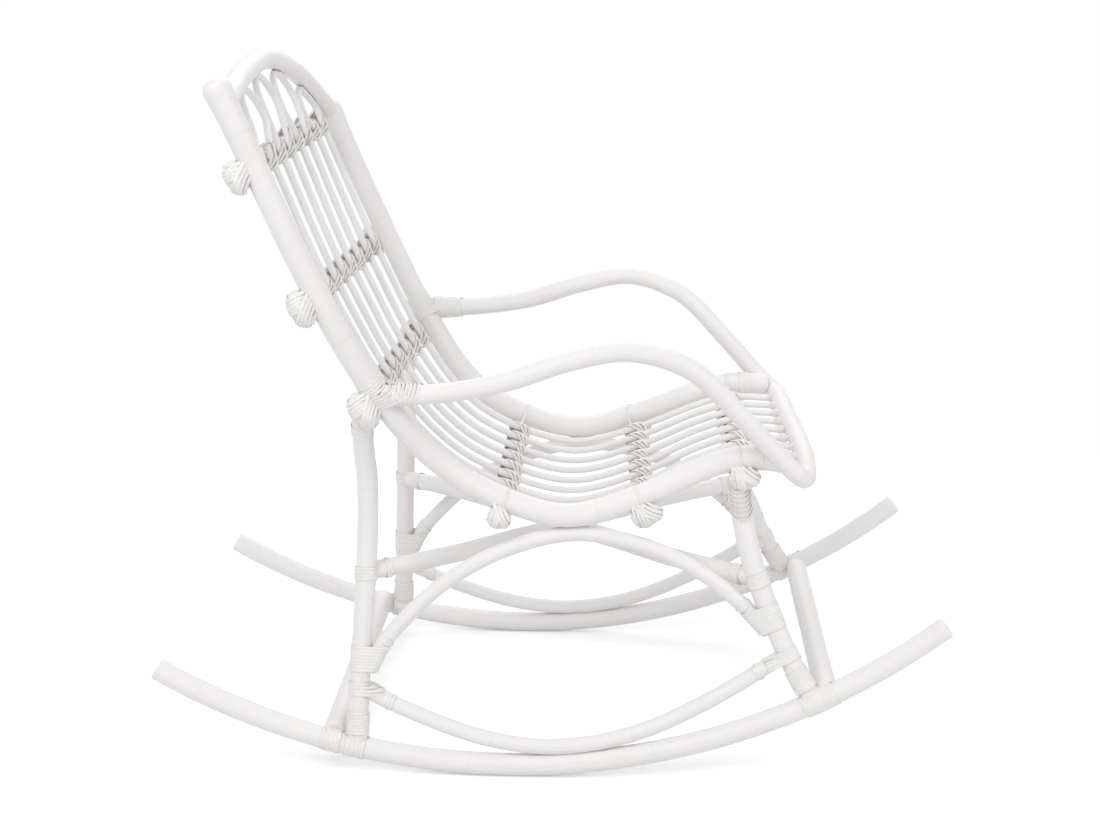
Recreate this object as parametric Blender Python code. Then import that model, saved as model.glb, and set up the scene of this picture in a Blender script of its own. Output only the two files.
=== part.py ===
"""White-painted rattan rocking chair: bent poles, cane bindings, no moving parts.

Metres, +Z up. The chair faces +X and its left side is +Y. The origin is on the floor, in the middle of the
rockers' length and of the chair's width. Routes below give the left side; the right side is its mirror.
"""
import math

import bmesh
import bpy
import numpy as np

# Pole radii
ROCKER_RADIUS = 0.0150
LEG_RADIUS = 0.0138
STRETCHER_RADIUS = 0.0152
RAIL_RADIUS = 0.0160
ARM_RADIUS = 0.0130
CREST_RADIUS = 0.0130
CROSS_RADIUS = 0.0120
SPINDLE_RADIUS = 0.0048
ARCH_RADIUS = 0.0104
BOW_RADIUS = 0.0104
HOOP_RADIUS = 0.0125

# Clearances and depths
GAP = 0.0003                # left between pieces that touch
NOTCH = 0.004               # how deep a cross pole is let over its rail
REST_BITE = 0.001           # how deep an arch or bow is flattened where it rests on another pole
COPE_REACH = 0.45           # an end that butts reaches this share of the other pole's radius from its axis

# Rockers: an arc of a circle, its lowest stretch flat on the floor
ROCKER_LENGTH = 1.060
ROCKER_ARC_RADIUS = 0.900
ROCKER_HALF_SPACING = 0.250
ROCKER_STEP = math.radians(4.0)
CONTACT_X = -0.057

# Side rails
BACK_TOP_X = -0.397
BACK_TOP_Z = 0.925
BACK_TOP_HALF = 0.288
ARM_JOINT_X = -0.215
ARM_JOINT_Z = 0.530
ARM_JOINT_HALF = 0.255
SEAT_LOW_X = 0.022
SEAT_LOW_Z = 0.355
SEAT_LOW_HALF = 0.209
FRONT_BAR_X = 0.338
FRONT_BAR_Z = 0.421
FRONT_HALF = 0.188
LEFT_RAIL_CUT = 0.088       # the left rail is sawn off this much shorter than the right one

# Crest: its right end meets the rail near the top, its left end lower down
CREST_DROP_RIGHT = 0.028    # from the tops of the rails down to its right joint
CREST_DROP_LEFT = 0.095     # and down to its left joint
CREST_RISE = 0.001          # from the tops of the rails up to its peak
CREST_PEAK_Z = BACK_TOP_Z + CREST_RISE

# Cross poles, as (right end, left end): heights of the three behind the back, then places under the seat
TOP_POLE_DROP = 0.107       # from the tops of the rails down to the first cross pole
TOP_POLE_Z = BACK_TOP_Z - TOP_POLE_DROP
BACK_POLE_HEIGHTS = ((TOP_POLE_Z, TOP_POLE_Z), (0.656, 0.640), (0.522, 0.508))
SEAT_POLE_PLACES = ((-0.054, -0.054), (0.120, 0.108), (0.252, 0.252))
CROSS_BOWS = (0.0, 0.008, 0.010, 0.005, 0.004, 0.0)    # how far each is bowed away from the sitter
KNOB_TURNS = 2

# Arms
ARM_PEAK_X = 0.105
ARM_PEAK_Z = 0.585
ARM_HALF = 0.243
ARM_CORNER_HALF = FRONT_HALF + 0.009
CORNER_DROP = 0.015         # how far the right corner hangs below the front bar's level
LEFT_CORNER_BACK = 0.013    # how far the left corner lies behind the right one

# Legs
REAR_FOOT_X = -0.255
FRONT_FOOT_X = 0.350
REAR_LEG_TOP_HALF = 0.238
FRONT_LEG_TOP_HALF = 0.188
LEG_WAIST_HALF = 0.206

# Stretchers: how far behind or ahead of a leg's foot, and how far above the rocker's axis
REAR_STRETCHER_AHEAD = -0.032
REAR_STRETCHER_LIFT = 0.0084
FRONT_STRETCHER_AHEAD = 0.021
FRONT_STRETCHER_LIFT = -0.0032

# Arches, bows and hoops, from the bows' ends upwards
BOW_END_Z = 0.116
BOW_FRONT_END_Z = 0.172
ARCH_FOOT_RISE = 0.024      # from a bow's end up to the arch's foot on the same leg
FRONT_ARCH_FOOT_RISE = 0.033
ARCH_BOUND = 0.036          # length of an arch's end that is bound to its leg
ARCH_RUN_IN = (0.45, 0.75, 1.08)    # how far off the leg it is there, from its foot up, by their two radii
HOOP_RISE = 0.029           # from the front arch's bound end up to the hoop
ARCH_FOOT_Z = BOW_END_Z + ARCH_FOOT_RISE
FRONT_ARCH_FOOT_Z = BOW_FRONT_END_Z + FRONT_ARCH_FOOT_RISE
HOOP_Z = FRONT_ARCH_FOOT_Z + ARCH_BOUND + HOOP_RISE

# Spindles
SPINDLE_BARS = 8
ARCH_EDGES = (-0.68, -0.314, 0.045, 0.436, 0.82)   # where the arches under the crest meet, by half width
ARCH_SPACE = 0.0030         # left between two neighbouring arches where they are bent off their bars
ARCH_SHARE_UP = 0.7         # the most of its height over the top cross pole that an arch's round takes up

# Cane
CANE_RADIUS = 0.0022
CANE_TURN_GAP = 0.0007
LOOP_POINTS = 10            # points in a turn round one pole
OVER_POINTS = 5             # points in a turn round two poles, over the thinner one
UNDER_POINTS = 7            # and round the thicker one

# Finish
PAINT = (0.83, 0.84, 0.86)
CANE_PAINT = (0.84, 0.83, 0.80)
PAINT_ROUGHNESS = 0.45
CANE_ROUGHNESS = 0.55

SIDES = (("right", -1), ("left", 1))
LINE_POINTS = 400


def smooth_line(route, count=LINE_POINTS):
    """Evenly spaced points on a smooth curve through the route's points (centripetal cubic)."""
    route = np.array(route, float)
    spans = np.linalg.norm(np.diff(route, axis=0), axis=1)
    knots = np.concatenate([[0], np.cumsum(np.sqrt(spans))])
    slopes = np.gradient(route, knots, axis=0, edge_order=min(2, len(route) - 1))
    t = np.linspace(0, knots[-1], LINE_POINTS * 4)
    k = np.clip(np.searchsorted(knots, t, side="right") - 1, 0, len(knots) - 2)
    width = (knots[k + 1] - knots[k])[:, None]
    u = (t[:, None] - knots[k][:, None]) / width
    dense = ((2 * u**3 - 3 * u**2 + 1) * route[k] + (u**3 - 2 * u**2 + u) * width * slopes[k]
             + (3 * u**2 - 2 * u**3) * route[k + 1] + (u**3 - u**2) * width * slopes[k + 1])
    return even(dense, count)


def even(line, count):
    """The same line with its points evenly spaced."""
    steps = np.linalg.norm(np.diff(line, axis=0), axis=1)
    length = np.concatenate([[0], np.cumsum(steps)])
    at = np.linspace(0, length[-1], count)
    return np.stack([np.interp(at, length, line[:, i]) for i in range(3)], axis=1)


def between(start, end, steps):
    """Points from one end to the other, each step as (share of the way, share of the height, sideways)."""
    start, end = np.array(start), np.array(end)
    return [start + (end - start) * (along, along, up) + (0, out, 0) for along, up, out in steps]


def on_side(points, sign):
    """A left-side line moved to the wanted side."""
    points = np.array(points, float)
    points[:, 1] *= sign
    return points


def unit(vector):
    return np.asarray(vector, float) / np.linalg.norm(vector)


class Pole:
    """A round pole: its smooth centre line, its radius and the points its tube is made from."""

    def __init__(self, name, line, radius, count):
        self.name = name
        self.line = np.asarray(line, float)
        self.radius = radius
        self.points = even(self.line, count)
        steps = np.linalg.norm(np.diff(self.line, axis=0), axis=1)
        self.stations = np.concatenate([[0], np.cumsum(steps)])
        self.length = self.stations[-1]

    def at(self, station):
        return np.array([np.interp(station, self.stations, self.line[:, i]) for i in range(3)])

    def along(self, station, step=0.002):
        return unit(self.at(min(station + step, self.length)) - self.at(max(station - step, 0)))

    def crossing(self, point, along, reach=0.05):
        """Where this pole passes through the plane at a point, near that point."""
        away = self.line - point
        off = np.abs(away @ along) + 10 * (np.linalg.norm(away, axis=1) > reach)
        return self.line[np.argmin(off)]


# Scene and tubes

for old in list(bpy.data.objects):
    bpy.data.objects.remove(old)
parts = bpy.data.collections.new("rattan_rocking_chair")
cutters = bpy.data.collections.new("cutters")
for made in (parts, cutters):
    bpy.context.scene.collection.children.link(made)


def finish(name, colour, roughness):
    """A plain paint for one piece."""
    material = bpy.data.materials.new(name + "_finish")
    material.use_nodes = True
    shader = material.node_tree.nodes["Principled BSDF"]
    shader.inputs["Base Color"].default_value = (*colour, 1)
    shader.inputs["Roughness"].default_value = roughness
    shader.inputs["Metallic"].default_value = 0
    material.diffuse_color = (*colour, 1)
    return material


def tube_curve(name, points, radius, resolution, collection, tilt=0.0, twist="MINIMUM"):
    """A curve object with a round bevel and filled ends along the points."""
    data = bpy.data.curves.new(name, "CURVE")
    data.dimensions = "3D"
    data.twist_mode = twist
    data.bevel_depth = radius
    data.bevel_resolution = resolution
    data.use_fill_caps = True
    spline = data.splines.new("POLY")
    spline.points.add(len(points) - 1)
    for place, point in zip(spline.points, points):
        place.co = (*point, 1)
        place.tilt = tilt
    tube = bpy.data.objects.new(name, data)
    collection.objects.link(tube)
    return tube


def tube_mesh(name, points, radius, resolution, collection, tilt=0.0, twist="MINIMUM"):
    """The same tube as a closed mesh, for a piece that is cut or that cuts."""
    curve = tube_curve(name + "_line", points, radius, resolution, collection, tilt, twist)
    graph = bpy.context.evaluated_depsgraph_get()
    mesh = bpy.data.meshes.new_from_object(curve.evaluated_get(graph))
    shape = bmesh.new()
    shape.from_mesh(mesh)
    bmesh.ops.remove_doubles(shape, verts=shape.verts, dist=0.00001)
    bmesh.ops.recalc_face_normals(shape, faces=shape.faces)
    shape.to_mesh(mesh)
    shape.free()
    mesh.name = name
    solid = bpy.data.objects.new(name, mesh)
    solid.matrix_world = curve.matrix_world
    collection.objects.link(solid)
    bpy.data.objects.remove(curve)
    return solid


POLE_RESOLUTION = 2
SPINDLE_RESOLUTION = 1
CANE_RESOLUTION = 0
CANE_FLAT = math.sin(math.pi / 4)   # a four-sided cane lies flat, so it stands out less than its radius
FLAT_DOWN = math.pi / 8     # turns an eight-sided tube so that a flat, not an edge, is underneath


def make_pole(pole, resolution=POLE_RESOLUTION, tilt=0.0, twist="MINIMUM"):
    solid = tube_mesh(pole.name, pole.points, pole.radius, resolution, parts, tilt, twist)
    solid.data.shade_smooth()
    solid.data.materials.clear()
    solid.data.materials.append(finish(pole.name, PAINT, PAINT_ROUGHNESS))
    return solid


def cutter(name, points, radius, tilt=0.0, twist="MINIMUM"):
    solid = tube_mesh(name, points, radius, POLE_RESOLUTION, cutters, tilt, twist)
    solid.hide_render = True
    solid.display_type = "WIRE"
    return solid


def clear_of(pole, tilt=0.0, twist="MINIMUM"):
    """A cutter that leaves the usual gap round a pole."""
    return cutter(pole.name + "_clearance", pole.points, pole.radius + GAP, tilt, twist)


def ahead_of(tool, x):
    """Keeps only the part of a cutter that is ahead of a place on the chair's length."""
    bpy.ops.mesh.primitive_cube_add(size=1, location=(x + 0.5, 0, 0.5))
    block = bpy.context.active_object
    block.name = tool.name + "_block"
    for home in list(block.users_collection):
        home.objects.unlink(block)
    cutters.objects.link(block)
    block.hide_render = True
    block.display_type = "WIRE"
    keep = tool.modifiers.new("keep", "BOOLEAN")
    keep.operation = "INTERSECT"
    keep.object = block
    return tool


def cut(solid, tools):
    for tool in tools:
        saw = solid.modifiers.new(tool.name, "BOOLEAN")
        saw.operation = "DIFFERENCE"
        saw.object = tool


# Rockers

def rocker_line():
    """The arc from rear tip to front tip, as straight stretches with the lowest one level."""
    flat = ROCKER_RADIUS * math.cos(FLAT_DOWN)
    reach = ROCKER_ARC_RADIUS + flat
    rear = -math.asin((ROCKER_LENGTH / 2 + CONTACT_X) / reach)
    front = math.asin((ROCKER_LENGTH / 2 - CONTACT_X) / reach)
    low = math.ceil(rear / ROCKER_STEP - 0.5) + 0.5
    angles = np.arange(low * ROCKER_STEP, front, ROCKER_STEP)
    angles = angles[(angles > rear + ROCKER_STEP / 4) & (angles < front - ROCKER_STEP / 4)]
    angles = np.concatenate([[rear], angles, [front]])
    centre_z = reach * math.cos(ROCKER_STEP / 2)
    return np.stack([CONTACT_X + ROCKER_ARC_RADIUS * np.sin(angles),
                     np.full(len(angles), ROCKER_HALF_SPACING),
                     centre_z - ROCKER_ARC_RADIUS * np.cos(angles)], axis=1)


ROCKER = rocker_line()


def rocker_z(x):
    return float(np.interp(x, ROCKER[:, 0], ROCKER[:, 2]))


# Side rails

BACK_TOP = (BACK_TOP_X, BACK_TOP_HALF, BACK_TOP_Z)
BACK_FOOT = (ARM_JOINT_X, ARM_JOINT_HALF, ARM_JOINT_Z)
SEAT_LOW = (SEAT_LOW_X, SEAT_LOW_HALF, SEAT_LOW_Z)
SEAT_FRONT = (FRONT_BAR_X - 0.028, FRONT_HALF + 0.010, FRONT_BAR_Z + 0.008)
BACK_STEPS = ((0.2418, 0.2532, 0.0070), (0.5220, 0.5544, 0.0132), (0.7857, 0.8127, 0.0109))
SEAT_REAR_STEPS = ((0.2743, 0.5257, -0.0214), (0.5274, 0.7943, -0.0237))
SEAT_FRONT_STEPS = ((0.3438, 0.3514, -0.0022), (0.6146, 0.8108, -0.0112), (0.7986, 1.0270, -0.0122))
RAIL = smooth_line([BACK_TOP] + between(BACK_TOP, BACK_FOOT, BACK_STEPS)
                   + [BACK_FOOT] + between(BACK_FOOT, SEAT_LOW, SEAT_REAR_STEPS)
                   + [SEAT_LOW] + between(SEAT_LOW, SEAT_FRONT, SEAT_FRONT_STEPS) + [SEAT_FRONT])
LOWEST = int(np.argmin(RAIL[:, 2]))


def rail_index_at_height(z):
    """The place on the back part of the rail at a height."""
    return int(np.argmin(np.abs(RAIL[:LOWEST, 2] - z)))


def rail_index_at_x(x):
    return int(np.argmin(np.abs(RAIL[:, 0] - x)))


def away_from_sitter(index):
    """Unit vector in the XZ plane, square to the rail, pointing behind the back or below the seat."""
    ahead = RAIL[min(index + 2, len(RAIL) - 1)] - RAIL[max(index - 2, 0)]
    return unit((ahead[2], 0, -ahead[0]))


CROSS_OFFSET = RAIL_RADIUS + CROSS_RADIUS - NOTCH
SPINDLE_OFFSET = RAIL_RADIUS - NOTCH - SPINDLE_RADIUS - GAP
CROSS_INDEX = ([[rail_index_at_height(z) for z in ends] for ends in BACK_POLE_HEIGHTS]
               + [[rail_index_at_x(x) for x in ends] for ends in SEAT_POLE_PLACES])
CROSS_NAMES = ("back_pole_top", "back_pole_middle", "back_pole_bottom",
               "seat_pole_rear", "seat_pole_middle", "seat_pole_front")

# A cane winding's size, and the length of cross pole that it needs outside a rail
CANE_PITCH = 2 * CANE_RADIUS + CANE_TURN_GAP
WIND_SCALE = 1 / math.cos(math.pi / LOOP_POINTS)
PAIR_SCALE = 1 / math.cos(math.pi / 2 / (OVER_POINTS - 1))
KNOB_START = RAIL_RADIUS + CANE_RADIUS + 2 * GAP
KNOB_LENGTH = KNOB_TURNS * CANE_PITCH
KNOB_END = KNOB_START + KNOB_LENGTH + CANE_RADIUS + 0.001


def index_between(ends, share):
    """The rail index that goes with a share of the half width, -1 at the right rail and 1 at the left."""
    return round(float(np.interp(share, (-1, 1), ends)))


def bow_at(index, share):
    """How far the sheet of bars is bowed away from the sitter at a rail index."""
    stops = [np.mean(ends) for ends in CROSS_INDEX]
    return float(np.interp(index, stops, CROSS_BOWS)) * (1 - share * share)


def behind_rails(index, share, offset):
    """A point between the rails at a rail index, set off behind the back or below the seat."""
    place = RAIL[index] + (offset + bow_at(index, share)) * away_from_sitter(index)
    return np.array((place[0], RAIL[index][1] * share, place[2]))


def cross_pole(name, ends):
    """A pole across the chair behind or below both rails, its ends standing out past them."""
    shares = np.linspace(-1, 1, 11)
    points = [behind_rails(index_between(ends, share), share, CROSS_OFFSET) for share in shares]
    first = points[0] + KNOB_END * unit(points[0] - points[1])
    last = points[-1] + KNOB_END * unit(points[-1] - points[-2])
    return Pole(name, smooth_line([first] + points + [last]), CROSS_RADIUS, 13)


CROSS = [cross_pole(name, ends) for name, ends in zip(CROSS_NAMES, CROSS_INDEX)]

# Arm hoop

ARM_JOINT = RAIL[rail_index_at_height(ARM_JOINT_Z)]
ARM_END = (ARM_JOINT[0] + COPE_REACH * RAIL_RADIUS, ARM_JOINT[1] + 0.004, ARM_JOINT_Z)
ARM_PEAK = (ARM_PEAK_X, ARM_HALF, ARM_PEAK_Z)
ARM_CORNER = (FRONT_BAR_X - 0.009, ARM_CORNER_HALF - 0.002, FRONT_BAR_Z - 0.004)
ARM_RISE_STEPS = ((0.2371, 0.0364, 0.0026), (0.5052, 0.2909, -0.0010), (0.7606, 0.7636, -0.0029))
ARM_FALL_STEPS = ((0.3437, 0.1520, 0.0035), (0.6250, 0.5120, 0.0060), (0.8705, 0.8690, 0.0108))
ARM_ROUTE = ([ARM_END] + between(ARM_END, ARM_PEAK, ARM_RISE_STEPS)
             + [ARM_PEAK] + between(ARM_PEAK, ARM_CORNER, ARM_FALL_STEPS))


def front_bar(sign, back, drop):
    """The arm hoop's corner on one side, and its front bar from there to the middle."""
    half = sign * ARM_CORNER_HALF
    return [(FRONT_BAR_X - 0.004 - back, half, FRONT_BAR_Z - drop),
            (FRONT_BAR_X + 0.001 - 0.9 * back, 0.77 * half, FRONT_BAR_Z - 0.3 * drop),
            (FRONT_BAR_X - 0.001 - 0.5 * back, 0.36 * half, FRONT_BAR_Z)]


ARM = smooth_line(ARM_ROUTE + front_bar(1, LEFT_CORNER_BACK, 0.0) + front_bar(-1, 0.0, CORNER_DROP)[::-1]
                  + [(x, -y, z) for x, y, z in reversed(ARM_ROUTE)], 2 * LINE_POINTS)

# Crest bow

def on_back(z):
    """The back's slope carried up to a height: the x that goes with it."""
    slope = (RAIL[0, 0] - RAIL[8, 0]) / (RAIL[0, 2] - RAIL[8, 2])
    beyond = max(z - BACK_TOP_Z, 0.0)
    return float(np.interp(z, RAIL[LOWEST::-1, 2], RAIL[LOWEST::-1, 0])) + slope * beyond


# The crest's shape on each side, from its peak: (share of its half width, share of its fall)
CREST_STEPS_RIGHT = ((0.30, 0.14), (0.55, 0.35), (0.75, 0.60), (0.90, 0.83))
CREST_STEPS_LEFT = ((0.18, 0.03), (0.36, 0.125), (0.56, 0.29), (0.707, 0.46), (0.80, 0.62), (0.90, 0.82))


def crest_side(sign, drop, steps):
    """The crest's points from its peak out to its joint on one side."""
    joint = RAIL[rail_index_at_height(BACK_TOP_Z - drop)]
    half = joint[1] - COPE_REACH * RAIL_RADIUS
    points = []
    for out, fall in steps:
        height = CREST_PEAK_Z - (CREST_RISE + drop) * fall
        points.append((on_back(height), sign * out * half, height))
    return points + [(joint[0], sign * half, joint[2])]


CREST_PEAK = (on_back(CREST_PEAK_Z), 0.0, CREST_PEAK_Z)
CREST = smooth_line(crest_side(-1, CREST_DROP_RIGHT, CREST_STEPS_RIGHT)[::-1] + [CREST_PEAK]
                    + crest_side(1, CREST_DROP_LEFT, CREST_STEPS_LEFT))

# Spindles

BAR_SHARES = np.linspace(-1, 1, SPINDLE_BARS + 2)[1:-1]
BAR_STEP = 14               # rail line points to one straight stretch of a bar


def bar(share):
    """One bar's points from the front bar, round the seat and up the back to the top cross pole."""
    stops = [index_between(ends, share) for ends in CROSS_INDEX[::-1]]
    indices = []
    for here, there in zip(stops[:-1], stops[1:]):
        count = max(1, round((here - there) / BAR_STEP))
        indices += list(np.linspace(here, there, count + 1).round().astype(int)[:-1])
    indices.append(stops[-1])
    front = (FRONT_BAR_X - COPE_REACH * ARM_RADIUS, FRONT_HALF * share, FRONT_BAR_Z)
    return np.array([front] + [behind_rails(index, share, SPINDLE_OFFSET) for index in indices])


TOP = behind_rails(CROSS_INDEX[0][0], 0.0, SPINDLE_OFFSET)
TOP_HALF = RAIL[CROSS_INDEX[0][0]][1]
UP_BACK = away_from_sitter(CROSS_INDEX[0][0])[[2, 1, 0]] * (1, 0, -1)


def crest_rise(y):
    """How far up the back, from the top cross pole, a spindle's arch may reach below the crest."""
    apart = CREST_RADIUS + SPINDLE_RADIUS + GAP
    rise = ((CREST - TOP) * (1, 0, 1)) @ UP_BACK
    room = apart**2 - SPINDLE_OFFSET**2 - (CREST[:, 1] - y)**2
    return float((rise - np.sqrt(np.maximum(room, 0)))[room > 0].min())


def up_from_top(y, rise):
    return np.array((TOP[0], y, TOP[2])) + rise * UP_BACK


def arch_points(left, right, points=11):
    """A round over two bars, as high as it goes below the crest."""
    middle = (left + right) / 2
    half = (right - left) / 2
    top = crest_rise(middle)
    height = min(half, ARCH_SHARE_UP * top)
    over = []
    for angle in np.linspace(math.pi, 0, points):
        y = middle + half * math.cos(angle)
        over.append(up_from_top(y, min(top - height + height * math.sin(angle), crest_rise(y))))
    return over


def hairpin(name, number):
    """Two bars of the back and seat that are one rod, spread and bent over below the crest."""
    left = bar(BAR_SHARES[2 * number])
    right = bar(BAR_SHARES[2 * number + 1])
    edges = np.array(ARCH_EDGES) * TOP_HALF
    inside = SPINDLE_RADIUS + ARCH_SPACE / 2
    over = arch_points(edges[number] + inside, edges[number + 1] - inside)
    return name, np.concatenate([left, over, right[::-1]])


SPINDLES = [hairpin(name, number) for number, name in enumerate(
    ("hairpin_right", "hairpin_mid_right", "hairpin_mid_left", "hairpin_left"))]

# Legs

REAR_TOP = behind_rails(CROSS_INDEX[2][1], 1.0, CROSS_OFFSET)
FRONT_TOP = behind_rails(CROSS_INDEX[5][1], 1.0, CROSS_OFFSET)


def leg_route(foot_x, foot_half, top, steps):
    """A leg from its rocker to its cross pole, each step as (share along, share up, half width)."""
    foot = np.array((foot_x, foot_half, rocker_z(foot_x) + COPE_REACH * ROCKER_RADIUS))
    top = np.array(top) - (0, 0, COPE_REACH * CROSS_RADIUS)
    middle = []
    for along, up, half in steps:
        x, _, z = foot + (top - foot) * (along, 0, up)
        middle.append((x, half, z))
    return [foot] + middle + [top]


LEG_CALF_HALF = (LEG_WAIST_HALF + ROCKER_HALF_SPACING) / 2
REAR_LEG_ROUTE = leg_route(
    REAR_FOOT_X, ROCKER_HALF_SPACING, (REAR_TOP[0] - 0.004, REAR_LEG_TOP_HALF, REAR_TOP[2]),
    ((0.2336, 0.2856, LEG_CALF_HALF + 0.001), (0.5005, 0.5993, LEG_WAIST_HALF),
     (0.5672, 0.8011, LEG_WAIST_HALF + 0.003)))
FRONT_LEG_ROUTE = leg_route(
    FRONT_FOOT_X, ROCKER_HALF_SPACING - 0.006, (FRONT_TOP[0] - 0.006, FRONT_LEG_TOP_HALF, FRONT_TOP[2]),
    ((0.4001, 0.2542, LEG_CALF_HALF - 0.001), (0.8503, 0.6765, LEG_WAIST_HALF)))


def at_height(pole, z):
    """The station on a rising pole at a height."""
    return float(np.interp(z, pole.line[:, 2], pole.stations))


def bound_end(leg, z, ahead):
    """Points of an arch's end that runs into a leg: ahead is 1 in front of it, -1 behind it."""
    apart = leg.radius + ARCH_RADIUS + GAP
    points = []
    for height, share in zip(np.linspace(z, z + ARCH_BOUND, 3), ARCH_RUN_IN):
        station = at_height(leg, height)
        along = leg.along(station)
        square = unit((along[2], 0, -along[0]))
        points.append(leg.at(station) + ahead * share * apart * square)
    return points


CROWN_AHEAD = 0.010         # an arch's crown, ahead of the seat's lowest place
BOW_LOW_X = 0.012
ARCH_REAR_STEPS = ((0.3143, 0.5252, -0.0040), (0.6395, 0.8413, -0.0038))
ARCH_FRONT_STEPS = ((0.3554, 0.1189, -0.0031), (0.6766, 0.4265, -0.0009))
BOW_REAR_STEPS = ((0.3107, 0.4925, 0.0025), (0.6612, 0.8786, 0.0029))
BOW_FRONT_STEPS = ((0.3096, 0.1306, 0.0033), (0.5925, 0.4128, 0.0041))
HOOP_STEPS = ((-0.5775, 0.6264), (-0.2117, 0.2373), (0.0, 0.0), (0.2117, 0.2373), (0.5775, 0.6264))


def side_poles(sign, side):
    """Every pole of one side, by name."""
    poles = {}

    def add(kind, line, radius, count):
        poles[kind] = Pole(f"{kind}_{side}", on_side(line, sign), radius, count)
        return poles[kind]

    rail = RAIL
    if side == "left":
        away = np.cumsum(np.linalg.norm(np.diff(RAIL, axis=0), axis=1))
        rail = RAIL[1 + int(np.searchsorted(away, LEFT_RAIL_CUT)):]
    add("side_rail", rail, RAIL_RADIUS, 26)
    add("rocker", ROCKER, ROCKER_RADIUS, 2)
    poles["rocker"].points = on_side(ROCKER, sign)
    rear = Pole("rear", smooth_line(REAR_LEG_ROUTE), LEG_RADIUS, 12)
    front = Pole("front", smooth_line(FRONT_LEG_ROUTE), LEG_RADIUS, 10)
    add("rear_leg", rear.line, LEG_RADIUS, 12)
    add("front_leg", front.line, LEG_RADIUS, 10)

    rear_end = bound_end(rear, ARCH_FOOT_Z, 1)
    front_end = bound_end(front, FRONT_ARCH_FOOT_Z, -1)
    crown = (SEAT_LOW_X + CROWN_AHEAD, SEAT_LOW_HALF, SEAT_LOW_Z - RAIL_RADIUS - ARCH_RADIUS + REST_BITE)
    arch = (rear_end + between(rear_end[-1], crown, ARCH_REAR_STEPS) + [crown]
            + between(crown, front_end[-1], ARCH_FRONT_STEPS) + front_end[::-1])
    add("upper_arch", smooth_line(arch), ARCH_RADIUS, 19)

    low_z = rocker_z(BOW_LOW_X) + ROCKER_RADIUS + BOW_RADIUS - REST_BITE
    low = (BOW_LOW_X, ROCKER_HALF_SPACING - 0.0005, low_z)
    reach = COPE_REACH * LEG_RADIUS
    rear_meet = rear.at(at_height(rear, BOW_END_Z)) + (reach, 0, 0)
    front_meet = front.at(at_height(front, BOW_FRONT_END_Z)) - (reach, 0, 0)
    bow = ([rear_meet] + between(rear_meet, low, BOW_REAR_STEPS) + [low]
           + between(low, front_meet, BOW_FRONT_STEPS) + [front_meet])
    add("lower_bow", smooth_line(bow), BOW_RADIUS, 17)

    rear_meet = rear.at(at_height(rear, HOOP_Z))
    front_meet = front.at(at_height(front, HOOP_Z))
    apex_x = (rear_meet[0] + front_meet[0]) / 2
    half_span = (front_meet[0] - rear_meet[0]) / 2
    hoop = [(rear_meet[0] + 0.004, rear_meet[1] - 0.010, HOOP_Z)]
    for along, out in HOOP_STEPS:
        hoop.append((apex_x + along * half_span, max(out * rear_meet[1], HOOP_RADIUS + GAP), HOOP_Z))
    hoop.append((front_meet[0] - 0.004, front_meet[1] - 0.010, HOOP_Z))
    add("inner_hoop", smooth_line(hoop), HOOP_RADIUS, 20)
    return poles


def stretcher(name, x, lift):
    z = rocker_z(x) + lift
    half = ROCKER_HALF_SPACING - COPE_REACH * ROCKER_RADIUS
    return Pole(name, even(np.array([(x, -half, z), (x, half, z)]), LINE_POINTS), STRETCHER_RADIUS, 3)


# Cane bindings

def turn_plan(members, centre, along, first, second):
    """One turn of a strap, in order: the pole it lies on and the angle it faces there."""
    main = members[0]
    if len(members) == 1:
        return [(main, 2 * math.pi * k / LOOP_POINTS) for k in range(LOOP_POINTS)]
    other = members[1]
    to = other.crossing(centre, along) - centre
    facing = math.atan2(np.dot(to, second), np.dot(to, first))
    lean = math.acos((main.radius - other.radius) / np.linalg.norm(to))
    over = np.linspace(facing - lean, facing + lean, OVER_POINTS)
    under = np.linspace(facing + lean, facing + 2 * math.pi - lean, UNDER_POINTS)
    return [(other, angle) for angle in over] + [(main, angle) for angle in under]


def least_gap(points):
    """The least clear distance between turns of one winding, measured on its points."""
    apart = np.linalg.norm(points[:, None] - points[None], axis=2)
    order = np.arange(len(points))
    other_turn = np.abs(order[:, None] - order[None]) > LOOP_POINTS // 2
    return apart[other_turn].min() - 2 * CANE_RADIUS


def winding_points(members, start, turns):
    """A helix of cane round the first member, and round any other beside it, with straight ends."""
    main = members[0]
    middle = start + turns * CANE_PITCH / 2
    along = main.along(middle)
    outward = np.array((0, main.at(middle)[1], 0))
    if abs(along[1]) > 0.7:
        outward = np.array((-1.0, 0, 0))
    first = unit(outward - along * np.dot(outward, along))
    second = np.cross(along, first)
    plan = turn_plan(members, main.at(middle), along, first, second)
    scale = WIND_SCALE if len(members) == 1 else PAIR_SCALE
    points = []
    for k in range(int(turns * len(plan)) + 1):
        pole, angle = plan[k % len(plan)]
        centre = main.at(start + CANE_PITCH * k / len(plan))
        place = pole.crossing(centre, along)
        place = place - along * np.dot(place - centre, along)
        normal = math.cos(angle) * first + math.sin(angle) * second
        room = GAP if pole is main else 3 * GAP
        points.append(place + (pole.radius + room + CANE_RADIUS) * scale * normal)
    points = np.array(points)
    tail = 2 * CANE_RADIUS
    head = points[0] + tail * unit(points[0] - points[1])
    end = points[-1] + tail * unit(points[-1] - points[-2])
    return np.concatenate([[head], points, [end]])


def winding(name, members, start, turns):
    points = winding_points(members, start, turns)
    print(f"{name}: least gap between turns {least_gap(points) * 1000:.2f} mm")
    cane = tube_curve(name, points, CANE_RADIUS, CANE_RESOLUTION, parts, tilt=math.pi / 4)
    cane.data.materials.append(finish(name, CANE_PAINT, CANE_ROUGHNESS))
    return cane


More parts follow.
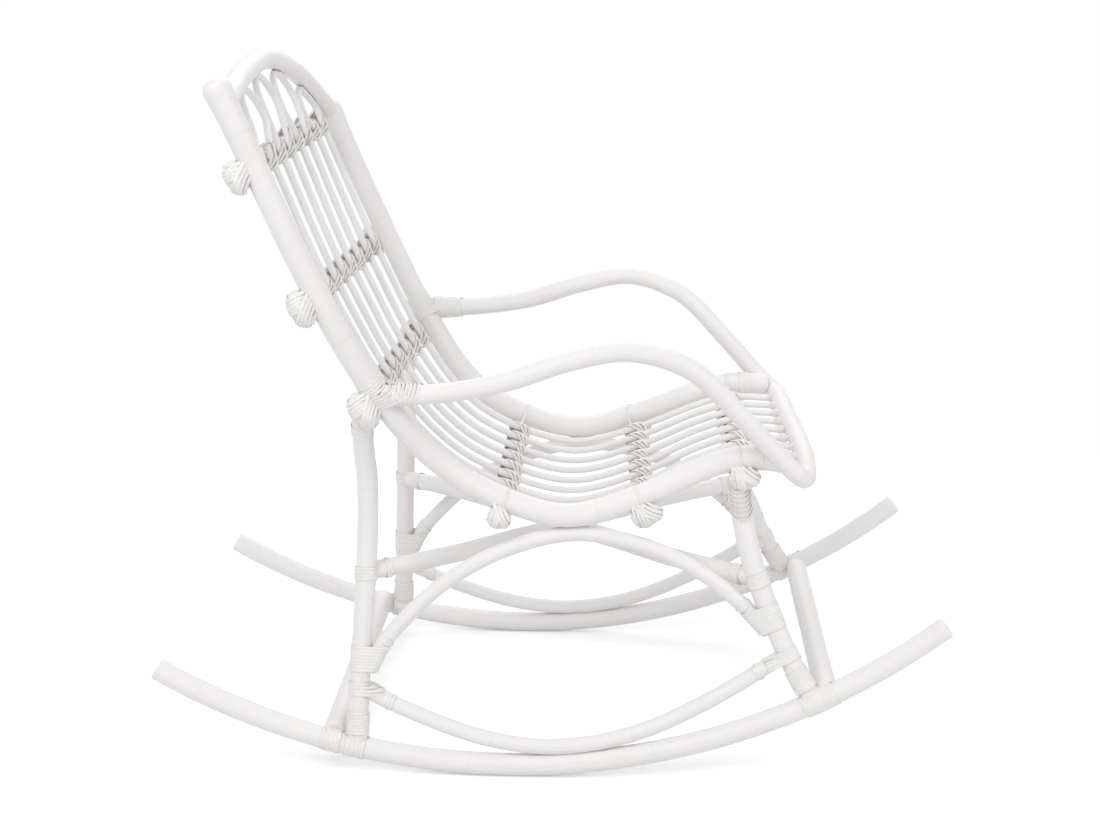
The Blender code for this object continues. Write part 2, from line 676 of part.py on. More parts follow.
def sleeve(name, pole, start, end):
    """A cutter that leaves room for a winding round a pole."""
    turn = (pole.radius + GAP + CANE_RADIUS) * WIND_SCALE
    radius = turn + CANE_RADIUS * CANE_FLAT + 2 * GAP
    points = np.array([pole.at(s) for s in np.linspace(start, end, 3)])
    return cutter(name, points, radius / math.cos(FLAT_DOWN))


def knob_station(pole, side):
    """Where a cross pole's winding starts on one side, outside the rail."""
    if side == "right":
        return KNOB_END - KNOB_START - KNOB_LENGTH
    return pole.length - KNOB_END + KNOB_START


def knob_room(pole, side):
    """A cutter that leaves room for a cross pole's winding."""
    start = knob_station(pole, side)
    return sleeve(f"{pole.name}_room_{side}", pole, start - CANE_RADIUS, start + KNOB_LENGTH + CANE_RADIUS)


HOOP_TURNS = 4
ARCH_TURNS = 4
FOOT_TURNS = 3
ARM_TURNS = 4
ARM_BIND_START = 0.024      # from the arm hoop's end to its binding
FOOT_BIND_START = 0.019     # from a leg's lower end to its binding

# The whole chair

arm = Pole("arm_hoop", ARM, ARM_RADIUS, 46)
crest = Pole("crest_bow", CREST, CREST_RADIUS, 19)
stretchers = (
    stretcher("rear_stretcher", REAR_FOOT_X + REAR_STRETCHER_AHEAD, REAR_STRETCHER_LIFT),
    stretcher("front_stretcher", FRONT_FOOT_X + FRONT_STRETCHER_AHEAD, FRONT_STRETCHER_LIFT))
sides = {side: side_poles(sign, side) for side, sign in SIDES}
solids = {}

arm_front = ahead_of(clear_of(arm), ARM_PEAK_X)
rail_tools = {}
rocker_tools = {}
for side, poles in sides.items():
    rail_tools[side] = clear_of(poles["side_rail"])
    rocker_tools[side] = clear_of(poles["rocker"], tilt=FLAT_DOWN, twist="Z_UP")

solids["arm_hoop"] = make_pole(arm)
cut(solids["arm_hoop"], rail_tools.values())
solids["crest_bow"] = make_pole(crest)
cut(solids["crest_bow"], rail_tools.values())
crest_tool = clear_of(crest)
cross_tools = {}
for pole in CROSS:
    solids[pole.name] = make_pole(pole)
    cut(solids[pole.name], rail_tools.values())
    cross_tools[pole.name] = clear_of(pole)
for name, points in SPINDLES:
    rod = Pole(name, points, SPINDLE_RADIUS, 2)
    rod.points = points
    solids[name] = make_pole(rod, SPINDLE_RESOLUTION)
    cut(solids[name], [arm_front, crest_tool])
for pole in stretchers:
    solids[pole.name] = make_pole(pole)
    cut(solids[pole.name], rocker_tools.values())

for side, poles in sides.items():
    for kind, pole in poles.items():
        if kind == "rocker":
            solids[pole.name] = make_pole(pole, tilt=FLAT_DOWN, twist="Z_UP")
        else:
            solids[pole.name] = make_pole(pole)
    rail, rocker = rail_tools[side], rocker_tools[side]
    rear, front = poles["rear_leg"], poles["front_leg"]
    rear_tool, front_tool = clear_of(rear), clear_of(front)
    cut(solids[poles["side_rail"].name], [arm_front])
    for leg, pole in ((rear, CROSS[2]), (front, CROSS[5])):
        cut(solids[leg.name], [rocker, cross_tools[pole.name], rail, knob_room(pole, side)])
    cut(solids[poles["upper_arch"].name], [rail, rear_tool, front_tool])
    cut(solids[poles["lower_bow"].name], [rocker, rear_tool, front_tool])

    for leg, kind, tool, reach in ((rear, "rear", rear_tool, stretchers[0]),
                                   (front, "front", front_tool, stretchers[1])):
        middle = at_height(leg, HOOP_Z)
        room = HOOP_RADIUS + 0.006
        start = middle - HOOP_TURNS * CANE_PITCH / 2
        winding(f"hoop_binding_{kind}_{side}", [leg], start, HOOP_TURNS)
        cut(solids[poles["inner_hoop"].name],
            [sleeve(f"hoop_room_{kind}_{side}", leg, middle - room, middle + room)])
        foot = FOOT_BIND_START
        winding(f"foot_binding_{kind}_{side}", [leg], foot, FOOT_TURNS)
        foot_end = foot + FOOT_TURNS * CANE_PITCH + CANE_RADIUS
        cut(solids[reach.name], [sleeve(f"foot_room_{kind}_{side}", leg, 0.0, foot_end), tool])
        arch_z = ARCH_FOOT_Z if kind == "rear" else FRONT_ARCH_FOOT_Z
        start = at_height(leg, arch_z + 0.006)
        winding(f"arch_binding_{kind}_{side}", [leg, poles["upper_arch"]], start, ARCH_TURNS)

    arm_start = ARM_BIND_START
    if side == "right":
        arm_start = arm.length - ARM_BIND_START - ARM_TURNS * CANE_PITCH
    winding(f"arm_binding_{side}", [arm], arm_start, ARM_TURNS)
    for pole in CROSS:
        winding(f"{pole.name}_knob_{side}", [pole], knob_station(pole, side), KNOB_TURNS)
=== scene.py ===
import math

import bpy
import numpy as np
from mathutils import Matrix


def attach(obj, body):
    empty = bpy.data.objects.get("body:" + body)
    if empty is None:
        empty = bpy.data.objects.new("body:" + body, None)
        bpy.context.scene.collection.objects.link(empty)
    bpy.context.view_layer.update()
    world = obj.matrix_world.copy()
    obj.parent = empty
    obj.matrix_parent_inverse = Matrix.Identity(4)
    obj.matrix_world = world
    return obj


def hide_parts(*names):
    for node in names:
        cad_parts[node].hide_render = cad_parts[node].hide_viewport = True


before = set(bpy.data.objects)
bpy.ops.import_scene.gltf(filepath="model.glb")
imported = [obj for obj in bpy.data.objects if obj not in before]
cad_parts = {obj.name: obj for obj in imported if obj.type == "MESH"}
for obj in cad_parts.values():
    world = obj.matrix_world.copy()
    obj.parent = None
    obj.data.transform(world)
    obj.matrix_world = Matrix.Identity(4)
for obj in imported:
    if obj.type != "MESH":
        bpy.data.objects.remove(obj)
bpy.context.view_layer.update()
print("frame loaded:", len(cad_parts), "nodes")


# Lines: every pole of the chair is a line in metres, facing +X, with its left side at +Y
lineSizes = {"points": 400, "dense": 1600, "skinStep": 0.0008, "skinSides": 48}


def unit(rows):
    rows = np.asarray(rows, float)
    return rows / np.linalg.norm(rows, axis=-1, keepdims=True)


def evenLine(line, count):
    # the same line, its points spaced evenly by length
    steps = np.linalg.norm(np.diff(line, axis=0), axis=1)
    length = np.concatenate([[0], np.cumsum(steps)])
    at = np.linspace(0, length[-1], count)
    return np.stack([np.interp(at, length, line[:, i]) for i in range(line.shape[1])], axis=1)


def smoothLine(route, count=lineSizes["points"]):
    # a cubic through the route's points: each span blends its two points and their slopes, with knots
    # spaced by the square root of the distance between points
    route = np.array(route, float)
    spans = np.linalg.norm(np.diff(route, axis=0), axis=1)
    knots = np.concatenate([[0], np.cumsum(np.sqrt(spans))])
    slopes = np.gradient(route, knots, axis=0, edge_order=min(2, len(route) - 1))
    t = np.linspace(0, knots[-1], lineSizes["dense"])
    k = np.clip(np.searchsorted(knots, t, side="right") - 1, 0, len(knots) - 2)
    width = (knots[k + 1] - knots[k])[:, None]
    u = (t[:, None] - knots[k][:, None]) / width
    dense = ((2 * u**3 - 3 * u**2 + 1) * route[k] + (u**3 - 2 * u**2 + u) * width * slopes[k]
             + (3 * u**2 - 2 * u**3) * route[k + 1] + (u**3 - u**2) * width * slopes[k + 1])
    return evenLine(dense, count)


class Pole:
    # a pole's middle line and its radius; a station is a distance along the line
    def __init__(self, line, radius):
        self.line = np.asarray(line, float)
        self.radius = radius
        steps = np.linalg.norm(np.diff(self.line, axis=0), axis=1)
        self.stations = np.concatenate([[0], np.cumsum(steps)])
        self.length = self.stations[-1]
        self.cloud = None

    def at(self, station):
        return np.stack([np.interp(station, self.stations, self.line[:, i]) for i in range(3)], axis=-1)

    def along(self, station, step=0.002):
        ahead = np.minimum(np.asarray(station, float) + step, self.length)
        back = np.maximum(np.asarray(station, float) - step, 0)
        return unit(self.at(ahead) - self.at(back))

    def nearest(self, point):
        return float(self.stations[np.argmin(np.linalg.norm(self.line - point, axis=1))])

    def atHeight(self, z):
        return float(np.interp(z, self.line[:, 2], self.stations))

    def skin(self):
        # points all over the round surface: centre plus radius times (cos, sin) across the line
        if self.cloud is None:
            stations = np.linspace(0, self.length, int(self.length / lineSizes["skinStep"]) + 2)
            along = self.along(stations)
            helper = np.where(np.abs(along[:, 1:2]) > 0.8, (1.0, 0, 0), (0, 1.0, 0))
            side = unit(np.cross(along, helper))
            up = np.cross(along, side)
            turn = np.linspace(0, 2 * np.pi, lineSizes["skinSides"], endpoint=False)[None, :, None]
            ring = np.cos(turn) * side[:, None] + np.sin(turn) * up[:, None]
            self.cloud = (self.at(stations)[:, None] + self.radius * ring).reshape(-1, 3)
        return self.cloud


def mirrored(points, sign):
    return np.array(points, float) * (1, sign, 1)


sides = (("right", -1), ("left", 1))
poles = {}

# Side rails, arms and crest
railSizes = {"radius": 0.016, "leftCut": 0.088, "armJointZ": 0.530, "slopePoints": 8}
armSizes = {"radius": 0.013, "points": 800, "aside": 0.004}
crestSizes = {
    "radius": 0.013, "peakZ": 0.926, "rightJointZ": 0.897, "leftJointZ": 0.830,
    "rightSteps": ((0.30, 0.14), (0.55, 0.35), (0.75, 0.60), (0.90, 0.83)),
    "leftSteps": ((0.18, 0.03), (0.36, 0.125), (0.56, 0.29), (0.707, 0.46), (0.80, 0.62), (0.90, 0.82))}
copeReach = 0.45            # a butted end goes this share of the other pole's radius past its axis

rail = smoothLine((
    (-0.397, 0.288, 0.925), (-0.353, 0.287, 0.825), (-0.302, 0.284, 0.706), (-0.254, 0.273, 0.604),
    (-0.215, 0.255, 0.530), (-0.150, 0.221, 0.438), (-0.090, 0.207, 0.391), (0.022, 0.209, 0.355),
    (0.121, 0.203, 0.381), (0.199, 0.191, 0.415), (0.252, 0.188, 0.431), (0.310, 0.198, 0.429)))
railLowest = int(np.argmin(rail[:, 2]))


def railAtHeight(z):
    return int(np.argmin(np.abs(rail[:railLowest, 2] - z)))


def railAtX(x):
    return int(np.argmin(np.abs(rail[:, 0] - x)))


def awayFromSitter(index):
    # square to the rail in the XZ plane, behind the back or below the seat
    index = np.asarray(index)
    ahead = rail[np.minimum(index + 2, len(rail) - 1)] - rail[np.maximum(index - 2, 0)]
    return unit(np.stack([ahead[..., 2], np.zeros_like(ahead[..., 0]), -ahead[..., 0]], axis=-1))


def onBack(z):
    # the x of the back at a height, with its slope carried on above the rails' tops
    top, lower = rail[0], rail[railSizes["slopePoints"]]
    slope = (top[0] - lower[0]) / (top[2] - lower[2])
    along = float(np.interp(z, rail[railLowest::-1, 2], rail[railLowest::-1, 0]))
    return along + slope * max(z - top[2], 0.0)


armJoint = rail[railAtHeight(railSizes["armJointZ"])]
armRoute = [
    (armJoint[0] + copeReach * railSizes["radius"], armJoint[1] + armSizes["aside"], railSizes["armJointZ"]),
    (-0.134, 0.258, 0.532), (-0.050, 0.250, 0.546), (0.030, 0.244, 0.572), (0.105, 0.243, 0.585),
    (0.182, 0.230, 0.5595), (0.245, 0.219, 0.499), (0.300, 0.212, 0.439)]
frontBar = {
    "left": [(0.321, 0.197, 0.421), (0.3273, 0.1517, 0.421), (0.3305, 0.0709, 0.421)],
    "right": [(0.337, -0.0709, 0.421), (0.339, -0.1517, 0.4165), (0.334, -0.197, 0.406)]}
armLine = armRoute + frontBar["left"] + frontBar["right"] + [(x, -y, z) for x, y, z in armRoute[::-1]]
poles["arm_hoop"] = Pole(smoothLine(armLine, armSizes["points"]), armSizes["radius"])


def crestSide(sign, jointZ, steps):
    # the crest from its peak out to its joint on one side: shares of the half width and of the fall
    joint = rail[railAtHeight(jointZ)]
    half = joint[1] - copeReach * railSizes["radius"]
    heights = [crestSizes["peakZ"] - (crestSizes["peakZ"] - jointZ) * fall for _, fall in steps]
    points = [(onBack(z), sign * out * half, z) for (out, _), z in zip(steps, heights)]
    return points + [(joint[0], sign * half, joint[2])]


poles["crest_bow"] = Pole(smoothLine(
    crestSide(-1, crestSizes["rightJointZ"], crestSizes["rightSteps"])[::-1]
    + [(onBack(crestSizes["peakZ"]), 0.0, crestSizes["peakZ"])]
    + crestSide(1, crestSizes["leftJointZ"], crestSizes["leftSteps"])), crestSizes["radius"])

# Cross poles: (right end, left end) heights on the back, then places under the seat, and their bows
crossSizes = {"radius": 0.012, "notch": 0.004, "standOut": 0.0152}     # the knobs stand out further
crossEnds = {
    "back_pole_top": (0.818, 0.818), "back_pole_middle": (0.656, 0.640), "back_pole_bottom": (0.522, 0.508),
    "seat_pole_rear": (-0.054, -0.054), "seat_pole_middle": (0.120, 0.108), "seat_pole_front": (0.252, 0.252)}
crossBows = (0.0, 0.008, 0.010, 0.005, 0.004, 0.0)
crossIndex = [[(railAtHeight if name.startswith("back") else railAtX)(end) for end in ends]
              for name, ends in crossEnds.items()]
crossOffset = railSizes["radius"] + crossSizes["radius"] - crossSizes["notch"]


def indexBetween(ends, share):
    return np.rint(np.interp(share, (-1, 1), ends)).astype(int)


def behindRails(index, share, offset):
    # a point between the rails at a rail index: the rail's place, plus the offset and the bow square to it
    index, share = np.broadcast_arrays(index, share)
    stops = [np.mean(ends) for ends in crossIndex]
    bow = np.interp(index, stops, crossBows) * (1 - share**2)
    place = rail[index] + (offset + bow)[..., None] * awayFromSitter(index)
    return np.stack([place[..., 0], rail[index][..., 1] * share, place[..., 2]], axis=-1)


for name, ends in zip(crossEnds, crossIndex):
    shares = np.linspace(-1, 1, 11)
    points = behindRails(indexBetween(ends, shares), shares, crossOffset)
    first = points[0] + crossSizes["standOut"] * unit(points[0] - points[1])
    last = points[-1] + crossSizes["standOut"] * unit(points[-1] - points[-2])
    poles[name] = Pole(smoothLine(np.concatenate([[first], points, [last]])), crossSizes["radius"])

# Spindles: eight bars, joined in pairs by arches under the crest
spindleSizes = {
    "radius": 0.0048, "bars": 8, "gap": 0.0003, "front": (0.332, 0.188, 0.421), "indexStep": 3, "points": 640,
    "archEdges": (-0.68, -0.314, 0.045, 0.436, 0.82), "archSpace": 0.0030, "archShareUp": 0.7,
    "archPoints": 25}
hairpins = ("hairpin_right", "hairpin_mid_right", "hairpin_mid_left", "hairpin_left")
spindleOffset = railSizes["radius"] - crossSizes["notch"] - spindleSizes["radius"] - spindleSizes["gap"]
barShares = np.linspace(-1, 1, spindleSizes["bars"] + 2)[1:-1]
topIndex = crossIndex[0][0]
topPlace = behindRails(topIndex, 0.0, spindleOffset)
upBack = awayFromSitter(topIndex)[[2, 1, 0]] * (1, 0, -1)


def barLine(share):
    # the points of one bar, from the front bar round the seat and up to the top cross pole, and its normals
    stops = [int(indexBetween(ends, share)) for ends in crossIndex[::-1]]
    index = np.arange(stops[0], stops[-1] - 1, -spindleSizes["indexStep"])
    front = np.array([spindleSizes["front"]]) * (1, share, 1)
    points = np.concatenate([front, behindRails(index, share, spindleOffset)])
    normals = np.concatenate([-awayFromSitter(stops[0])[None], -awayFromSitter(index)])
    return points, normals


def crestRise(y):
    # how far up the back a bar may go under the crest: the crest's height less the other side of a
    # right triangle whose long side is the two radii
    apart = crestSizes["radius"] + spindleSizes["radius"] + spindleSizes["gap"]
    crest = poles["crest_bow"].line
    rise = ((crest - topPlace) * (1, 0, 1)) @ upBack
    room = apart**2 - spindleOffset**2 - (crest[:, 1] - y)**2
    return float((rise - np.sqrt(np.maximum(room, 0)))[room > 0].min())


def archLine(left, right):
    # a round over two bars: middle plus half width times cos, base plus height times sin, below the crest
    turn = np.linspace(np.pi, 0, spindleSizes["archPoints"])
    middle, half = (left + right) / 2, (right - left) / 2
    top = crestRise(middle)
    height = min(half, spindleSizes["archShareUp"] * top)
    across = middle + half * np.cos(turn)
    rise = np.minimum(top - height + height * np.sin(turn), [crestRise(y) for y in across])
    return np.array((topPlace[0], 0, topPlace[2])) + np.outer(across, (0, 1, 0)) + np.outer(rise, upBack)


spindleNormals = {}
archEdges = np.array(spindleSizes["archEdges"]) * rail[topIndex][1]
for number, name in enumerate(hairpins):
    inside = spindleSizes["radius"] + spindleSizes["archSpace"] / 2
    over = archLine(archEdges[number] + inside, archEdges[number + 1] - inside)
    left, leftNormals = barLine(barShares[2 * number])
    right, rightNormals = barLine(barShares[2 * number + 1])
    overNormals = np.repeat(-awayFromSitter(topIndex)[None], len(over), axis=0)
    points = np.concatenate([left, over, right[::-1]])
    normals = np.concatenate([leftNormals, overNormals, rightNormals[::-1]])
    both = evenLine(np.concatenate([points, normals], axis=1), spindleSizes["points"])
    poles[name] = Pole(both[:, :3], spindleSizes["radius"])
    spindleNormals[name] = both[:, 3:]

# Rockers, legs, arches, bows, hoops and stretchers
rockerSizes = {"radius": 0.0146, "arc": 0.900, "length": 1.060, "half": 0.250, "contactX": -0.057}
legSizes = {"radius": 0.0138, "rearFootX": -0.255, "frontFootX": 0.350, "footLift": 0.007}
stretcherSizes = {      # each one's x, and its lift above the rocker's line there
    "radius": 0.0152, "half": 0.243, "places": {"rear": (-0.287, 0.0084), "front": (0.371, -0.0032)}}
archSizes = {
    "radius": 0.0104, "rearFootZ": 0.140, "frontFootZ": 0.205, "bound": 0.036, "gap": 0.0003,
    "apart": (0.45, 0.75, 1.08)}
bowSizes = {"radius": 0.0104, "rearZ": 0.116, "frontZ": 0.172, "ahead": 0.006}
hoopSizes = {           # shares of the span between the legs, and of the legs' distance from the middle
    "radius": 0.0125, "z": 0.270, "ahead": 0.004, "inside": 0.010, "gap": 0.0003,
    "shares": ((-0.5775, 0.6264), (-0.2117, 0.2373), (0, 0), (0.2117, 0.2373), (0.5775, 0.6264))}


def rockerLine():
    # an arc of a circle: contact x plus arc times sin, and its lowest point one radius above the floor
    reach = rockerSizes["arc"] + rockerSizes["radius"]
    half, contact = rockerSizes["length"] / 2, rockerSizes["contactX"]
    turn = np.linspace(math.asin((-half - contact) / reach), math.asin((half - contact) / reach),
                       lineSizes["points"])
    return np.stack([contact + rockerSizes["arc"] * np.sin(turn),
                     np.full(len(turn), rockerSizes["half"]),
                     rockerSizes["radius"] + rockerSizes["arc"] * (1 - np.cos(turn))], axis=1)


rocker = rockerLine()


def rockerZ(x):
    return float(np.interp(x, rocker[:, 0], rocker[:, 2]))


def boundEnd(leg, z, ahead):
    # three points beside a leg, from half way into it to one leg radius plus one arch radius away
    shares = np.array(archSizes["apart"])[:, None]
    apart = (leg.radius + archSizes["radius"] + archSizes["gap"]) * shares
    station = np.array([leg.atHeight(h) for h in np.linspace(z, z + archSizes["bound"], len(shares))])
    along = leg.along(station)
    square = unit(along[:, [2, 1, 0]] * (1, 0, -1))
    return list(leg.at(station) + ahead * apart * square)


rearTop = behindRails(crossIndex[2][1], 1.0, crossOffset)
frontTop = behindRails(crossIndex[5][1], 1.0, crossOffset)
rearFoot, frontFoot = legSizes["rearFootX"], legSizes["frontFootX"]
rearLeg = smoothLine((
    (rearFoot, 0.250, rockerZ(rearFoot) + legSizes["footLift"]), (-0.248, 0.229, 0.170),
    (-0.240, 0.206, 0.310), (-0.237, 0.209, 0.400), (-0.2385, 0.2175, 0.436),
    (rearTop[0] - 0.0165, 0.236, rearTop[2] - 0.0054), (rearTop[0] - 0.0145, 0.2405, rearTop[2] + 0.0050)))
frontLeg = smoothLine((
    (frontFoot, 0.244, rockerZ(frontFoot) + legSizes["footLift"]), (0.310, 0.227, 0.190),
    (0.265, 0.206, 0.310), (frontTop[0] - 0.006, 0.188, frontTop[2] - 0.0054)))
rear, front = Pole(rearLeg, legSizes["radius"]), Pole(frontLeg, legSizes["radius"])
upperArch = smoothLine(
    boundEnd(rear, archSizes["rearFootZ"], 1)
    + [(-0.143, 0.218, 0.256), (-0.060, 0.212, 0.305), (0.032, 0.209, 0.3296), (0.115, 0.209, 0.318),
       (0.190, 0.214, 0.288)]
    + boundEnd(front, archSizes["frontFootZ"], -1)[::-1])
bowAhead = np.array((bowSizes["ahead"], 0, 0))
lowerBow = smoothLine((
    rear.at(rear.atHeight(bowSizes["rearZ"])) + bowAhead, (-0.165, 0.244, 0.079), (-0.075, 0.2485, 0.050),
    (0.012, 0.2495, 0.0416), (0.105, 0.247, 0.058), (0.190, 0.2425, 0.095),
    front.at(front.atHeight(bowSizes["frontZ"])) - bowAhead))
rearMeet, frontMeet = (leg.at(leg.atHeight(hoopSizes["z"])) for leg in (rear, front))
apex, halfSpan = (rearMeet[0] + frontMeet[0]) / 2, (frontMeet[0] - rearMeet[0]) / 2
hoopAhead = np.array((hoopSizes["ahead"], 0, 0))
hoopInside = np.array((0, hoopSizes["inside"], 0))
hoopLeast = hoopSizes["radius"] + hoopSizes["gap"]
innerHoop = smoothLine(
    [rearMeet + hoopAhead - hoopInside]
    + [(apex + share * halfSpan, max(out * rearMeet[1], hoopLeast), hoopSizes["z"])
       for share, out in hoopSizes["shares"]]
    + [frontMeet - hoopAhead - hoopInside])
leftCut = int(np.searchsorted(Pole(rail, railSizes["radius"]).stations, railSizes["leftCut"]))
for side, sign in sides:
    for name, line, sizes in (
            ("side_rail", rail[leftCut if side == "left" else 0:], railSizes),
            ("rocker", rocker, rockerSizes), ("rear_leg", rearLeg, legSizes),
            ("front_leg", frontLeg, legSizes), ("upper_arch", upperArch, archSizes),
            ("lower_bow", lowerBow, bowSizes), ("inner_hoop", innerHoop, hoopSizes)):
        poles[f"{name}_{side}"] = Pole(mirrored(line, sign), sizes["radius"])
for kind, (x, lift) in stretcherSizes["places"].items():
    ends = np.array([(x, sign * stretcherSizes["half"], rockerZ(x) + lift) for _, sign in sides])
    poles[f"{kind}_stretcher"] = Pole(evenLine(ends, lineSizes["points"]), stretcherSizes["radius"])
print("lines worked out:", len(poles), "poles")


class Term:
    # a socket that takes part in Python sums: each operator adds a Math node
    def __init__(self, finish, socket):
        self.finish, self.socket = finish, socket

    def math(self, operation, *values):
        return self.finish.add("ShaderNodeMath", {"operation": operation}, dict(enumerate(values)))

    def __add__(self, other):
        return self.math("ADD", self, other)

    def __sub__(self, other):
        return self.math("SUBTRACT", self, other)

    def __rsub__(self, other):
        return self.math("SUBTRACT", other, self)

    def __mul__(self, other):
        return self.math("MULTIPLY", self, other)

    def __abs__(self):
        return self.math("ABSOLUTE", self)

    __radd__, __rmul__ = __add__, __mul__


class Finish:
    # the nodes of a material or a world
    def __init__(self, owner, shader):
        self.owner = owner
        owner.use_nodes = True
        self.tree = owner.node_tree
        self.shader = self.tree.nodes[shader]

    def add(self, kind, settings=None, sockets=None, output=0):
        # one node of any kind: settings first, then its sockets' values or links
        node = self.tree.nodes.new(kind)
        for key, value in (settings or {}).items():
            setattr(node, key, value)
        for key, value in (sockets or {}).items():
            self.feed(node.inputs[key], value)
        return Term(self, node.outputs[output])

    def feed(self, socket, value):
        if isinstance(value, Term):
            self.tree.links.new(value.socket, socket)
        else:
            socket.default_value = value

    def end(self, surface):
        last = next(node for node in self.tree.nodes if node.type.startswith("OUTPUT"))
        self.feed(last.inputs["Surface"], surface)

    def mix(self, factor, first, second):
        return self.add("ShaderNodeMix", {"data_type": "RGBA"}, {0: factor, 6: first, 7: second}, 2)

    def noise(self, vector, scale, detail=2.0):
        return self.add("ShaderNodeTexNoise", None, {"Vector": vector, "Scale": scale, "Detail": detail})

    def smooth(self, value, low, high):
        return self.add("ShaderNodeMapRange", {"interpolation_type": "SMOOTHSTEP"},
                        {"Value": value, "From Min": low, "From Max": high})

    def combine(self, x, y, z):
        return self.add("ShaderNodeCombineXYZ", None, {0: x, 1: y, 2: z})

    def bump(self, height, depth, below=None):
        sockets = {"Height": height, "Distance": depth, "Strength": 1.0}
        if below is not None:
            sockets["Normal"] = below
        return self.add("ShaderNodeBump", None, sockets)


def mapped(finish):
    # the piece's own map: first number round or across, second metres along
    uv = finish.add("ShaderNodeUVMap", {"uv_map": "along"})
    split = finish.add("ShaderNodeSeparateXYZ", None, {0: uv})
    return split, Term(finish, split.socket.node.outputs[1])


# the slit colour is painted shade for the narrow gaps between crest and arches
rattanLooks = {
    "paint": (0.822, 0.808, 0.803, 1), "thin": (0.790, 0.768, 0.742, 1), "joint": (0.74, 0.72, 0.69, 1),
    "slit": (0.13, 0.12, 0.11, 1), "roughness": 0.40, "roughnessSpread": 0.16, "shine": 0.42,
    "streaksRound": 5.0, "streaksAlong": 26, "streakBump": 0.00022, "patchScale": 9.0, "brushScale": 420.0,
    "brushBump": 0.00006}
# the edge colour is partly painted shade in the creases between strips, partly dirt; the darkest colour is
# painted shade for the valleys of the ties
caneLooks = {
    "paint": (0.822, 0.810, 0.796, 1), "thin": (0.785, 0.762, 0.730, 1), "edge": (0.62, 0.59, 0.55, 1),
    "valleyShade": (0.30, 0.28, 0.25, 1), "roughness": 0.48, "roughnessSpread": 0.14, "shine": 0.40,
    "fibres": 4, "fibreBump": 0.00025, "patchScale": 38.0}


def rattanPaint():
    # satin white paint over rattan: lengthwise streaks from noise on (cos, sin, along), thinner paint in
    # patches, a warmer tint in the grooves of the joints, painted shade in the slits where a mark goes beyond
    # 1
    finish = Finish(bpy.data.materials.new("paintedRattan"), "Principled BSDF")
    around, along = mapped(finish)
    turn = around * (2 * math.pi)
    across = rattanLooks["streaksRound"]
    place = finish.combine(around.math("COSINE", turn) * across, around.math("SINE", turn) * across,
                           along * rattanLooks["streaksAlong"])
    streaks = finish.noise(place, 1.0, 4.0)
    objectAt = Term(finish, finish.add("ShaderNodeTexCoord").socket.node.outputs["Object"])
    patches = finish.noise(objectAt, rattanLooks["patchScale"], 3.0)
    fine = finish.noise(objectAt, rattanLooks["brushScale"], 2.0)
    ring = finish.add("ShaderNodeAttribute", {"attribute_name": "mark"}, None, 2)
    thin = finish.smooth(streaks, 0.52, 0.80) * 0.35 + finish.smooth(patches, 0.52, 0.75) * 0.45
    colour = finish.mix(thin, rattanLooks["paint"], rattanLooks["thin"])
    colour = finish.mix(ring * (0.10 + 0.35 * patches), colour, rattanLooks["joint"])
    # painted shade: near black in the slits between crest and arches
    colour = finish.mix(finish.smooth(ring, 1.0, 1.35) * (0.45 + 0.9 * patches), colour, rattanLooks["slit"])
    finish.feed(finish.shader.inputs["Base Color"], colour)
    finish.feed(finish.shader.inputs["Roughness"],
                rattanLooks["roughness"] + rattanLooks["roughnessSpread"] * (0.5 * patches + 0.5 * streaks))
    brushed = finish.bump(fine, rattanLooks["brushBump"])
    finish.feed(finish.shader.inputs["Normal"], finish.bump(streaks, rattanLooks["streakBump"], brushed))
    finish.shader.inputs["Specular IOR Level"].default_value = rattanLooks["shine"]
    return finish.owner


def canePaint():
    # the same paint on flat cane: fibres as a sine across with noise along, edges darkened by painted shade
    # and dirt, painted shade where marked
    finish = Finish(bpy.data.materials.new("paintedCane"), "Principled BSDF")
    across, along = mapped(finish)
    objectAt = Term(finish, finish.add("ShaderNodeTexCoord").socket.node.outputs["Object"])
    wander = finish.noise(finish.combine(across * 3, along * 60, 0.0), 1.0, 3.0)
    fibres = across.math("SINE", (across + wander * 0.08) * (2 * math.pi * caneLooks["fibres"])) * 0.5 + 0.5
    patches = finish.noise(objectAt, caneLooks["patchScale"], 3.0)
    # strip edges darker: partly painted shade in the creases between strips, partly dirt
    edge = finish.smooth(abs(across - 0.5), 0.36, 0.50)
    colour = finish.mix(finish.smooth(patches, 0.50, 0.72) * 0.55, caneLooks["paint"], caneLooks["thin"])
    colour = finish.mix(edge * (0.05 + 0.50 * patches), colour, caneLooks["edge"])
    deep = finish.add("ShaderNodeAttribute", {"attribute_name": "mark"}, None, 2)
    # painted shade: the cane darkened where it lies deep in the valleys between ties
    colour = finish.mix(deep * (0.15 + 0.9 * patches), colour, caneLooks["valleyShade"])
    finish.feed(finish.shader.inputs["Base Color"], colour)
    finish.feed(finish.shader.inputs["Roughness"],
                caneLooks["roughness"] + caneLooks["roughnessSpread"] * patches)
    finish.feed(finish.shader.inputs["Normal"],
                finish.bump(fibres * 0.6 + wander * 0.4, caneLooks["fibreBump"]))
    finish.shader.inputs["Specular IOR Level"].default_value = caneLooks["shine"]
    return finish.owner


materials = {"painted_rattan": rattanPaint(), "painted_cane": canePaint()}
print("materials made")


